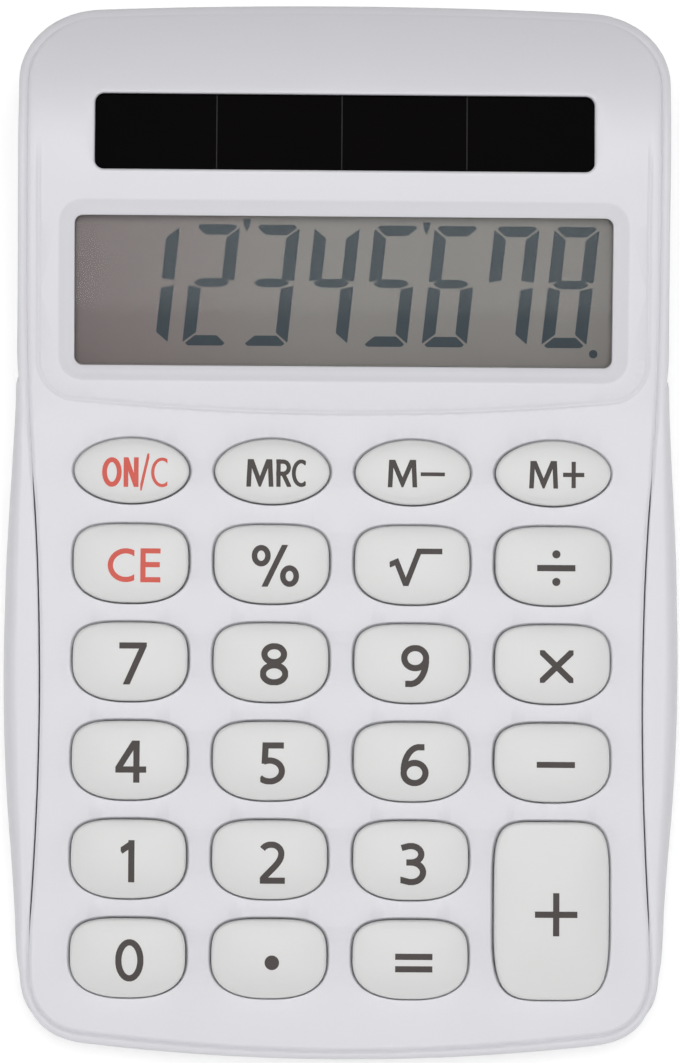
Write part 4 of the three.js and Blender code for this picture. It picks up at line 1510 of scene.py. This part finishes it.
def digit_signs() -> dict[str, Sign]:
    """The ten digits, drawn for a height of 4.5 mm."""
    tall, half = 4.5, 0.325
    mid = tall / 2
    return {
        "key_0": Sign([ring(1.5, mid, 1.18, mid - half)], (3.0, tall), (-1.27, -2.48)),
        "key_1": Sign(
            [line((0.0, 3.32), (1.05, 4.05)), line((1.15, 4.8), (1.15, -0.2))],
            (1.48, tall), (-0.8, -2.48),
        ),
        "key_2": Sign(
            [
                curve(
                    arc(1.2, 3.22, 1.08, 0.96, 150, -8),
                    bezier([(2.27, 3.05), (2.2, 2.2), (1.1, 1.45), (0.25, 0.45)], 10)[1:],
                ),
                line((0.0, half), (2.9, half)),
            ],
            (2.68, tall), (-1.02, -2.54),
        ),
        "key_3": Sign(
            [
                curve((0.1, 3.96), arc(1.1, 3.3, 1.12, 0.88, 112, -90), (0.62, 2.42)),
                curve(
                    (0.62, 2.42), (1.05, 2.42), arc(1.15, 1.37, 1.27, 1.05, 88, -112), (-0.1, 0.6),
                ),
            ],
            (2.75, tall), (-1.1, -2.6),
        ),
        "key_4": Sign(
            [line((2.25, 4.8), (2.25, -0.2)), line((2.2, 4.55), (0.22, 1.4), (3.4, 1.4))],
            (3.3, tall), (-1.45, -2.4),
        ),
        "key_5": Sign(
            [
                line((0.25, tall - half), (2.5, tall - half)),
                line((0.56, tall), (0.46, 2.2)),
                curve(arc(0.98, 1.44, 1.33, 1.12, 118, -140)),
            ],
            (2.68, tall), (-1.05, -2.5),
        ),
        "key_6": Sign(
            [
                ring(1.5, 1.4, 1.17, 1.08),
                curve((2.55, 4.16), arc(2.0, 1.6, 1.67, 2.58, 82, 178)),
            ],
            (3.0, tall), (-1.15, -2.58),
        ),
        "key_7": Sign(
            [line((-0.2, tall - half), (2.62, tall - half), (0.64, -0.3))],
            (2.95, tall), (-1.14, -2.46),
        ),
        "key_8": Sign(
            [ring(1.5, 1.22, 1.2, 0.92), ring(1.5, 3.32, 1.05, 0.86)],
            (3.0, tall), (-1.15, -2.44),
        ),
        "key_9": Sign(
            [
                ring(1.5, 3.1, 1.17, 1.08),
                curve((0.45, 0.34), arc(1.0, 2.9, 1.67, 2.58, -98, -2)),
            ],
            (3.0, tall), (-1.15, -2.54),
        ),
        "key_point": Sign([], (1.6, 1.6), (-0.47, -1.2), dots=((0.8, 0.8, 0.78),)),
    }


def operator_signs() -> dict[str, Sign]:
    """Signs of the operator keys."""
    return {
        "key_equals": Sign(
            [line((-0.1, 1.66), (4.2, 1.66)), line((-0.1, 0.32), (4.2, 0.32))],
            (3.98, 1.98), (-1.61, -1.33),
        ),
        "key_minus": Sign([line((-0.1, 0.32), (4.3, 0.32))], (4.1, 0.64), (-1.68, -0.54)),
        "key_plus": Sign(
            [line((-0.1, 2.3), (4.7, 2.3)), line((2.27, -0.1), (2.27, 4.7))],
            (4.54, 4.6), (-1.8, -2.68),
        ),
        "key_multiply": Sign(
            [line((-0.3, -0.27), (3.9, 3.77)), line((-0.3, 3.77), (3.9, -0.27))],
            (3.6, 3.5), (-1.38, -2.0),
        ),
        "key_divide": Sign(
            [line((-0.1, 1.94), (4.3, 1.94))], (4.1, 3.9), (-1.72, -2.18),
            dots=((2.06, 3.42, 0.44), (2.06, 0.46, 0.44)),
        ),
        "key_root": Sign(
            [line((-0.05, 2.25), (0.75, 2.6), (1.75, 0.1), (3.15, 3.73), (5.9, 3.73))],
            (5.65, 4.05), (-2.45, -2.27), pen=0.6,
        ),
        "key_percent": Sign(
            [
                ring(1.05, 3.32, 0.72, 0.86), ring(4.1, 1.15, 0.72, 0.86),
                line((1.35, -0.15), (3.72, 4.75)),
            ],
            (5.15, 4.5), (-2.17, -2.44), pen=0.6,
        ),
    }


def letter_signs() -> dict[str, list[Sign]]:
    """Letters of the memory and clear keys, each with its own box."""
    tall = 3.18
    half = 0.26
    memory = tall - 0.22
    plus_mid = 1.42

    def letter_m(width: float, corner: Pair) -> Sign:
        """Capital M."""
        low, foot = -0.2, 0.42
        return Sign(
            [
                line((half, low), (0.42, tall + 0.1)),
                line((0.36, tall + 0.2), (width / 2, foot), (width - 0.36, tall + 0.2)),
                line((width - 0.42, tall + 0.1), (width - half, low)),
            ],
            (width, memory), corner, pen=0.5,
        )

    def letter_c(width: float, height: float, corner: Pair, pen: float) -> Sign:
        """Capital C."""
        mid, reach = height / 2, width * 0.68
        bend = arc(reach, mid, reach - pen / 2, mid - pen / 2, 50, 310)
        return Sign([curve(bend)], (width, height), corner, pen=pen)

    return {
        "key_clear_entry": [
            letter_c(2.85, 3.64, (-2.46, -2.06), 0.56),
            Sign(
                [
                    line((2.3, 3.38), (0.28, 3.38), (0.28, 0.28), (2.3, 0.28)),
                    line((0.28, 1.9), (2.08, 1.9)),
                ],
                (2.15, 3.64), (1.04, -2.06), pen=0.56,
            ),
        ],
        "key_on_clear": [
            Sign(
                [ring(1.05, tall / 2, 0.79, tall / 2 - half)],
                (2.1, tall), (-3.15, -1.8), pen=0.52,
            ),
            Sign(
                [
                    line((0.26, -0.2), (0.26, tall + 0.2)),
                    line((0.2, tall + 0.15), (1.42, -0.15)),
                    line((1.36, -0.2), (1.36, tall + 0.2)),
                ],
                (1.62, tall), (-0.85, -1.8), pen=0.5,
            ),
            Sign([line((-0.05, -0.2), (0.95, 4.2))], (0.95, 4.0), (0.95, -2.18), pen=0.3),
            letter_c(1.75, tall, (2.1, -1.8), 0.34),
        ],
        "key_memory_recall": [
            letter_m(2.95, (-2.8, -1.68)),
            Sign(
                [
                    line((0.25, -0.2), (0.25, memory + 0.2)),
                    curve(
                        (0.0, memory - 0.25), (0.7, memory - 0.25),
                        arc(0.75, memory - 0.9, 0.6, 0.65, 85, -85), (0.0, memory - 1.55),
                    ),
                    line((0.72, memory - 1.5), (1.55, -0.25)),
                ],
                (1.62, memory), (0.42, -1.68), pen=0.46,
            ),
            letter_c(1.5, memory, (2.1, -1.68), 0.42),
        ],
        "key_memory_minus": [
            letter_m(3.2, (-2.72, -1.64)),
            Sign([line((-0.1, 0.2), (2.8, 0.2))], (2.6, 0.4), (0.83, -0.42), pen=0.46),
        ],
        "key_memory_plus": [
            letter_m(3.15, (-2.64, -1.66)),
            Sign(
                [
                    line((-0.1, plus_mid), (2.5, plus_mid)),
                    line((1.14, -0.1), (1.14, memory + 0.1)),
                ],
                (2.28, 2.84), (1.02, -1.6), pen=0.46,
            ),
        ],
    }


@dataclass
class Keypad:
    """The 23 key caps with their printed signs."""

    flange: float = 0.5
    flange_low: float = -2.55
    flange_high: float = -1.75
    edge_height: float = 0.9
    edge_round: float = 0.34
    crown: float = 0.36
    crown_power: float = 2.4
    crown_start: float = 0.12
    ink: float = 0.018
    red_keys: tuple[str, ...] = ("key_on_clear", "key_clear_entry")

    def crown_height(self, shape: KeyShape, x: np.ndarray, y: np.ndarray) -> np.ndarray:
        """Height of a key's top above the keyboard at places on the key."""
        share = np.clip(shape.share(x, y), 0, 1)
        return self.edge_height + self.crown * (1 - share ** self.crown_power)

    def cap(self, key: KeyPlace, place: Matrix) -> None:
        """Build one key cap: flange, body, soft edge and crowned top."""
        pile = MeshPile(place)
        rings = [
            raised(key.shape.outline(self.flange), self.flange_low),
            raised(key.shape.outline(self.flange), self.flange_high),
            raised(key.shape.outline(), self.flange_high),
        ]
        rise = self.crown * self.crown_start
        for angle in quarter_turn(5):
            inset = self.edge_round * (1 - math.cos(angle))
            height = self.edge_height - self.edge_round * (1 - math.sin(angle)) + rise
            rings.append(raised(key.shape.outline(-inset), height))
        base = key.shape.outline(-self.edge_round)
        for share in (0.93, 0.85, 0.75, 0.62, 0.48, 0.34, 0.2, 0.08):
            loop = base * share
            height = self.crown_height(key.shape, loop[:, 0], loop[:, 1])
            rings.append(raised(loop, np.maximum(height, self.edge_height + rise)))
        low, high = pile.rings(rings)
        pile.cap(low)
        pile.cap(high, np.array([0, 0, self.edge_height + self.crown]))
        pile.piece(f"{key.node}_cap", WHITE_KEY, key.node, replaces=[key.node])

    def print_signs(
        self, key: KeyPlace, signs: Sequence[Sign], finish: Finish, place: Matrix
    ) -> None:
        """Print signs on a key: thin ink that follows the crown.

        Args:
            key: the key.
            signs: its signs, side by side.
            finish: the ink.
            place: the key's own frame.
        """
        pile = MeshPile(place)
        for sign in signs:
            points, triangles = sign.flat_mesh()
            height = self.crown_height(key.shape, points[:, 0], points[:, 1])
            used = np.unique(triangles)
            order = np.full(len(points), -1)
            order[used] = np.arange(len(used))
            top = pile.add(raised(points[used], height[used] + self.ink))
            bottom = pile.add(raised(points[used], height[used] - self.ink))
            pile.triangles(top, order[triangles])
            pile.triangles(bottom, order[triangles])
            for a, b in border_edges(order[triangles]):
                pile.faces.append((int(top[a]), int(top[b]), int(bottom[b]), int(bottom[a])))
        pile.piece(f"{key.node}_print", finish, key.node)

    def build(self) -> None:
        """Build every cap and its sign."""
        keyboard = FORM.tilted(0.0)
        letters = letter_signs()
        single = digit_signs() | operator_signs()
        for key in KEYS:
            place = keyboard @ Matrix.Translation((key.x, key.y, 0))
            self.cap(key, place)
            ink = PRINT_RED if key.node in self.red_keys else PRINT_GREY
            self.print_signs(key, letters.get(key.node) or [single[key.node]], ink, place)


@dataclass
class KeyMat:
    """Silicone mat under the keys: a sheet, and a hollow dome that gives way under each key."""

    top: float = -4.15
    thickness: float = 0.6
    dome_radius: float = 3.5
    dome_height: float = 1.5
    border: float = 0.45
    hole: float = 3.62
    kept: float = 0.5
    soft_edge: tuple[Pair, ...] = ((0.12, 0.0), (0.03, 0.03), (0.0, 0.12))

    def sheet(self, place: Matrix) -> None:
        """Build the sheet with its openings."""
        margin = self.dome_radius + self.border
        low, high = KEYS[0].y - margin, max(key.y for key in KEYS) + margin
        half = max(key.x for key in KEYS) + margin
        middle = np.array([0, (low + high) / 2])
        under = [(inset, self.thickness - depth) for inset, depth in self.soft_edge[::-1]]
        pile = MeshPile(place)
        rings = []
        for inset, depth in (*self.soft_edge, *under):
            loop = rounded_rectangle(
                2 * (half - inset), high - low - 2 * inset, self.dome_radius - inset,
            )
            rings.append(raised(loop + middle, self.top - depth))
        holes = [circle(self.hole, 32, key.x, key.y) for key in KEYS]
        top, bottom = pile.rings(rings)
        upper, lower = [top], [bottom]
        for hole in holes:
            edge = [raised(hole, self.top), raised(hole, self.top - self.thickness)]
            mouth, floor = pile.rings(edge)
            upper.append(mouth)
            lower.append(floor)
        triangles = fill_region(rings[0][:, :2], holes)
        pile.triangles(np.concatenate(upper), triangles)
        pile.triangles(np.concatenate(lower), triangles)
        pile.piece("key_mat_sheet", SILICONE, replaces=["key_mat"])

    def dome(self, key: KeyPlace, place: Matrix) -> None:
        """Build one dome under its key."""
        foot = place @ Matrix.Translation((key.x, key.y, self.top))
        pile = MeshPile(foot)
        radius, height = self.dome_radius, self.dome_height
        pile.turn([
            (0, height), (2.05, height), (2.25, height - 0.08), (2.35, height - 0.25),
            (2.9, 0.62), (3.3, 0.25), (radius, 0.1), (radius + 0.3, 0.01), (radius + 0.4, -0.02),
            (self.hole - 0.02, -0.03), (self.hole - 0.02, -self.thickness),
            (radius - 0.45, -self.thickness), (radius - 0.5, -0.1), (2.45, 0.42), (1.85, 0.66),
            (1.6, 0.66), (1.5, 0.58), (0, 0.58),
        ], 32)
        made = pile.piece(f"{key.node}_dome", SILICONE)
        anchor = foot.translation * MM
        anchor.y += cad_box[0][1]
        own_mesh(made)

    def build(self) -> None:
        """Build the sheet and its 23 domes."""
        keyboard = FORM.tilted(0.0)
        self.sheet(keyboard)
        for key in KEYS:
            self.dome(key, keyboard)


def border_edges(triangles: np.ndarray) -> list[tuple[int, int]]:
    """Edges that belong to one triangle only."""
    seen: dict[tuple[int, int], int] = {}
    for a, b, c in triangles:
        for edge in ((a, b), (b, c), (c, a)):
            key = (int(min(edge)), int(max(edge)))
            seen[key] = seen.get(key, 0) + 1
    return [edge for edge, count in seen.items() if count == 1]


@dataclass
class Display:
    """The display's dark segments and marks, thin shapes that lie on its film."""

    film_depth: float = 2.6
    ink: float = 0.02
    digit_width: float = 4.87
    digit_height: float = 13.08
    upright: float = 1.36
    level: float = 1.12
    waist_share: float = 0.521
    slant: float = 0.103
    pitch: float = 6.47
    last_left: float = 21.4
    low: float = -5.97
    corner_round: float = 0.12
    commas: tuple[Pair, ...] = ((-10.48, 6.98), (8.9, 6.77))
    point: Triple = (27.06, -6.6, 0.46)
    number: str = "12345678"

    SEGMENTS = {
        "1": "bc", "2": "abdeg", "3": "abcdg", "4": "bcfg", "5": "acdfg", "6": "acdefg",
        "7": "abcf", "8": "abcdefg",
    }

    def segment_shapes(self) -> dict[str, np.ndarray]:
        """Loops of the seven segments, upright, from the digit's lower left corner."""
        width, height = self.digit_width, self.digit_height
        v, h, m = self.upright, self.level, self.waist_share * self.digit_height
        upper = np.array([(0, m + 0.2), (v, m + 0.42), (v, height - h - 0.32), (0, height - 0.36)])
        lower = np.array([(0, 0.36), (v, h + 0.32), (v, m - 0.62), (0, m - 0.3)])
        mirror = np.array([-1, 1])
        shift = np.array([width, 0])
        left = np.array([(0.5, 0.0), (0.9, 0.3), (1.4, 0.47)])
        over = np.vstack([left, (left * mirror + shift)[::-1]])
        lens = np.vstack([over, over[-2:0:-1] * [1, -1]]) + [0, m]
        bar = np.array([
            (0.6, 0), (width - 0.6, 0), (width - 0.28, 0.26),
            (width - 1.25, h), (1.25, h), (0.28, 0.26),
        ])
        return {
            "f": upper, "e": lower,
            "b": upper[::-1] * mirror + shift, "c": lower[::-1] * mirror + shift,
            "g": lens, "d": bar, "a": bar[::-1] * mirror[::-1] + np.array([0, height]),
        }

    def build(self) -> None:
        """Build the driven segments, the marks between the digits and the point."""
        film = Matrix.Translation((0, 0, -self.film_depth))
        pile = MeshPile(FORM.tilted(Housing().window_middle) @ film)
        shapes = self.segment_shapes()
        shear = np.array([[1, 0], [self.slant, 1]])
        for index, digit in enumerate(self.number):
            left = self.last_left - (len(self.number) - 1 - index) * self.pitch
            for segment in self.SEGMENTS[digit]:
                loop = rounded_corners(shapes[segment], self.corner_round) @ shear
                pile.slab(loop + [left, self.low], 0.0, self.ink)
        wedge = np.array([(0.0, -0.7), (0.3, 0.05), (0.42, 0.7), (-0.42, 0.7), (-0.3, 0.05)])
        for place in self.commas:
            pile.slab(rounded_corners(wedge, 0.08) + place, 0.0, self.ink)
        x, y, radius = self.point
        pile.slab(circle(radius, 24, x, y), 0.0, self.ink)
        pile.piece("display_segments", SEGMENT)


def rounded_corners(loop: np.ndarray, radius: float, steps: int = 3) -> np.ndarray:
    """Cut each corner of a loop by a short curve."""
    result = []
    for before, corner, after in zip(np.roll(loop, 1, axis=0), loop, np.roll(loop, -1, axis=0)):
        ends = []
        for other in (before, after):
            reach = np.linalg.norm(other - corner)
            ends.append(corner + (other - corner) * min(radius / reach, 0.45))
        result.append(bezier([ends[0], corner, ends[1]], steps))
    return np.vstack(result)


@dataclass
class SolarPanel:
    """Four amorphous cells on one glass plate, with thin scribed lines between them."""

    width: float = 56.1
    depth: float = 10.8
    recess: float = 1.3
    thickness: float = 1.1
    pitch: float = 13.45
    line: float = 0.11
    offset: float = -0.32

    def build(self) -> None:
        """Build the plate and the lines, and let the plate stand for its node."""
        place = FORM.tilted(Housing().solar_middle) @ Matrix.Translation((0, 0, -self.recess))
        plate = MeshPile(place)
        outline = rounded_rectangle(self.width, self.depth, 0.3, 4)
        triangles = fill_region(outline)
        low, high = plate.rings([
            raised(outline, -self.thickness), raised(outline, -0.08),
            raised(outline * 0.9985, -0.02), raised(outline * 0.997, 0.0),
        ])
        plate.triangles(low, triangles)
        plate.triangles(high, triangles)
        plate.piece("solar_plate", SOLAR_CELL, replaces=["solar_panel"])
        lines = MeshPile(place)
        for step in (-1, 0, 1):
            x = self.offset + step * self.pitch
            lines.slab(
                rounded_rectangle(self.line, self.depth * 0.97, self.line * 0.3, 2) + [x, 0],
                -0.01, 0.012,
            )
        lines.piece("solar_lines", SOLAR_LINE)


@dataclass
class Underside:
    """Feet and screws."""

    foot_radius: float = 4.0
    foot_height: float = 1.6
    foot_round: float = 0.45
    head_radius: float = 1.85
    head_low: float = 1.1
    head_high: float = 2.4
    shank_radius: float = 1.0
    shank_high: float = 8.1
    recess_arm: float = 1.05
    recess_half: float = 0.28
    recess_depth: float = 0.75

    def foot(self, node: str) -> None:
        """Build one rubber foot: soft edge and a shallow dished face."""
        x, y = node_middle(node)
        pile = MeshPile(Matrix.Translation((x, y, 0)))
        soft = self.foot_round
        edge = [
            (self.foot_radius - soft * (1 - math.sin(angle)), soft * (1 - math.cos(angle)))
            for angle in quarter_turn(6)
        ]
        face = [(0.0, 0.12), (1.6, 0.12), (2.6, 0.06), (3.0, 0.0)]
        pile.turn([
            *face, *edge, (self.foot_radius, self.foot_height - 0.05), (0, self.foot_height),
        ], 72)
        pile.piece(f"{node}_pad", FOOT_RUBBER, replaces=[node])

    def screw(self, node: str) -> None:
        """Build one screw: domed head with a cross recess, and its shank."""
        x, y = node_middle(node)
        pile = MeshPile(Matrix.Translation((x, y, 0)))
        a, b = self.recess_arm, self.recess_half
        cross = np.array([
            (a, -b), (a, b), (b, b), (b, a), (-b, a), (-b, b),
            (-a, b), (-a, -b), (-b, -b), (-b, -a), (b, -a), (b, -b),
        ])
        cross = rounded_corners(cross, 0.1, 2)
        flat = circle(self.head_radius * 0.78, 40)
        mouth, floor = pile.rings([
            raised(cross, self.head_low), raised(cross * 0.55, self.head_low + self.recess_depth),
        ])
        pile.triangles(floor, fill_region(cross * 0.55))
        profile = [
            (0.78, 0.0), (0.88, 0.05), (0.96, 0.18), (1.0, 0.4),
            (1.0, self.head_high - self.head_low),
        ]
        rings = [
            raised(circle(self.head_radius * share, 40), self.head_low + rise)
            for share, rise in profile
        ]
        rings.append(raised(circle(self.shank_radius, 40), self.head_high))
        rings.append(raised(circle(self.shank_radius, 40), self.shank_high - self.shank_radius))
        start, tip = pile.rings(rings)
        pile.cap(tip, np.array([0, 0, self.shank_high]))
        pile.triangles(np.concatenate([start, mouth]), fill_region(flat, [cross]))
        pile.piece(f"{node}_cross", ZINC_STEEL, replaces=[node])

    def build(self) -> None:
        """Build the four feet and the six screws."""
        for node in FOOT_NODES:
            self.foot(node)
        for node in SCREW_NODES:
            self.screw(node)


INNER_FINISHES = {
    "display_lens": CLEAR_WINDOW,
    "display_polariser": DISPLAY_FILM,
    "display_front_glass": GLASS_EDGE,
    "display_rear_glass": GLASS_EDGE,
    "display_reflector": REFLECTOR,
    "zebra_strip": CONTACT_STRIP,
    "solar_lead_red": LEAD_RED,
    "solar_lead_black": LEAD_BLACK,
    "circuit_board": BOARD,
    "chip_blob": RESIN,
    "storage_capacitor": SLEEVE,
    "clamp_diode": DIODE,
    **{f"board_screw_{number}": ZINC_STEEL for number in range(1, 5)},
}


def dress_inner_parts() -> None:
    """Give the parts that keep their own shape the finish of the real ones."""
    for node, finish in INNER_FINISHES.items():
        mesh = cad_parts[node].data
        mesh.materials.clear()
        mesh.materials.append(finish.material())
        log.info("%s: %s", node, finish.name)


@dataclass
class Studio:
    """Pale floor, soft light from above and the camera that looks nearly straight down."""

    elevation: float = math.radians(82.6)
    distance: float = 490.0
    target: Triple = (-0.17, 56.98, 8.0)
    roll: float = math.radians(0.4)
    sidestep: float = 5.0
    lens_mm: float = 152.5
    sensor_mm: float = 36.0
    floor_half: float = 1.5
    floor_colour: str = "e0e0e0"
    floor_glow: float = 0.44
    glow_spread: Pair = (0.25, 0.9)
    world_level: float = 0.31
    back_level: float = 0.08
    lamp_size: float = 0.5
    lamps: tuple[tuple[str, Triple, float], ...] = (
        ("softbox", (0.0, 0.03, 1.0), 5.25),
        ("right_light", (0.8, 0.0, 0.35), 1.1),
        ("left_light", (-0.8, 0.0, 0.35), 1.1),
        ("front_light", (0.0, -0.8, 0.22), 1.0),
    )

    def camera(self) -> None:
        """Place the camera at the photograph's viewing angle."""
        data = bpy.data.cameras.new("camera")
        data.lens = self.lens_mm
        data.sensor_width = self.sensor_mm
        data.clip_end = 20
        camera = bpy.data.objects.new("camera", data)
        bpy.context.scene.collection.objects.link(camera)
        forward = Vector((0, math.cos(self.elevation), -math.sin(self.elevation)))
        target = Vector(self.target) * MM
        target.y += cad_box[0][1]
        place = target - forward * self.distance * MM - Vector((self.sidestep * MM, 0, 0))
        aim = forward.rotation_difference(target - place).to_matrix().to_4x4()
        turn = Matrix.Rotation(self.elevation - math.pi / 2, 4, "X").inverted()
        camera.matrix_world = (
            Matrix.Translation(place) @ aim @ turn @ Matrix.Rotation(self.roll, 4, "Z")
        )
        bpy.context.scene.camera = camera

    def floor(self) -> None:
        """Lay a pale floor that shows white where it is lit and keeps the object's shadow."""
        material = bpy.data.materials.new("floor_pale")
        material.use_nodes = True
        tree = material.node_tree
        tree.nodes.clear()
        paths = add_node(tree, "ShaderNodeLightPath")
        seen = paths.outputs["Is Camera Ray"]
        for ray in ("Is Glossy Ray", "Is Transmission Ray"):
            seen = add_node(
                tree, "ShaderNodeMath", {"operation": "MAXIMUM"},
                {0: seen, 1: paths.outputs[ray]},
            ).outputs[0]
        place = add_node(tree, "ShaderNodeTexCoord")
        away = add_node(
            tree, "ShaderNodeVectorMath", {"operation": "LENGTH"}, {0: place.outputs["Object"]},
        )
        near, far = self.glow_spread
        glow_level = add_node(
            tree, "ShaderNodeMapRange",
            {"From Min": near, "From Max": far, "To Min": self.floor_glow, "To Max": 1.0},
            {"Value": away.outputs["Value"]},
        )
        level = add_node(
            tree, "ShaderNodeMath", {"operation": "MULTIPLY"},
            {0: seen, 1: glow_level.outputs["Result"]},
        )
        paint = add_node(tree, "ShaderNodeBsdfDiffuse", {"Color": linear(self.floor_colour)})
        glow = add_node(tree, "ShaderNodeEmission", links={"Strength": level.outputs[0]})
        both = add_node(
            tree, "ShaderNodeAddShader", links={0: paint.outputs[0], 1: glow.outputs[0]},
        )
        add_node(tree, "ShaderNodeOutputMaterial", links={"Surface": both.outputs[0]})
        half = self.floor_half
        mesh = bpy.data.meshes.new("floor")
        mesh.from_pydata(
            [(-half, -half, 0), (half, -half, 0), (half, half, 0), (-half, half, 0)], [],
            [(0, 1, 2, 3)],
        )
        mesh.materials.append(material)
        floor = bpy.data.objects.new("floor", mesh)
        bpy.context.scene.collection.objects.link(floor)

    def lamp(self, name: str, place: Triple, watts: float) -> None:
        """Hang one square soft light that faces the object.

        Args:
            name: the lamp's name.
            place: where it hangs, in metres.
            watts: its power.
        """
        data = bpy.data.lights.new(name, "AREA")
        data.shape = "SQUARE"
        data.size = self.lamp_size
        data.energy = watts
        lamp = bpy.data.objects.new(name, data)
        bpy.context.scene.collection.objects.link(lamp)
        lamp.location = place
        lamp.rotation_euler = (-Vector(place)).to_track_quat("-Z", "Y").to_euler()

    def world(self) -> None:
        """Light everything from a pale surround that is dimmer behind the object."""
        world = bpy.data.worlds.new("surround")
        world.use_nodes = True
        tree = world.node_tree
        tree.nodes.clear()
        paths = add_node(tree, "ShaderNodeLightPath")
        way = add_node(tree, "ShaderNodeTexCoord")
        back = add_node(tree, "ShaderNodeSeparateXYZ", links={"Vector": way.outputs["Generated"]})
        level = add_node(
            tree, "ShaderNodeMapRange",
            {
                "interpolation_type": "SMOOTHSTEP", "From Min": 0.1, "From Max": 0.9,
                "To Min": self.world_level, "To Max": self.back_level,
            },
            {"Value": back.outputs["Y"]},
        )
        lit = add_node(
            tree, "ShaderNodeMapRange", {"To Max": 1.0},
            {"Value": paths.outputs["Is Camera Ray"], "To Min": level.outputs["Result"]},
        )
        sky = add_node(
            tree, "ShaderNodeBackground", {"Color": (1.0, 1.0, 1.0, 1.0)},
            {"Strength": lit.outputs["Result"]},
        )
        add_node(tree, "ShaderNodeOutputWorld", links={"Surface": sky.outputs["Background"]})
        bpy.context.scene.world = world

    def build(self) -> None:
        """Set the scene round the object."""
        bpy.context.scene.view_settings.view_transform = "Standard"
        self.camera()
        self.floor()
        self.world()
        for name, place, watts in self.lamps:
            self.lamp(name, place, watts)


def main() -> None:
    """Build the calculator and its studio."""
    logging.basicConfig(level=logging.INFO, format="%(name)s %(message)s")
    for assembly in (Studio, Housing, RearCase, Keypad, KeyMat, Display, SolarPanel, Underside):
        assembly().build()
    dress_inner_parts()


if __name__ == "__main__":
    main()
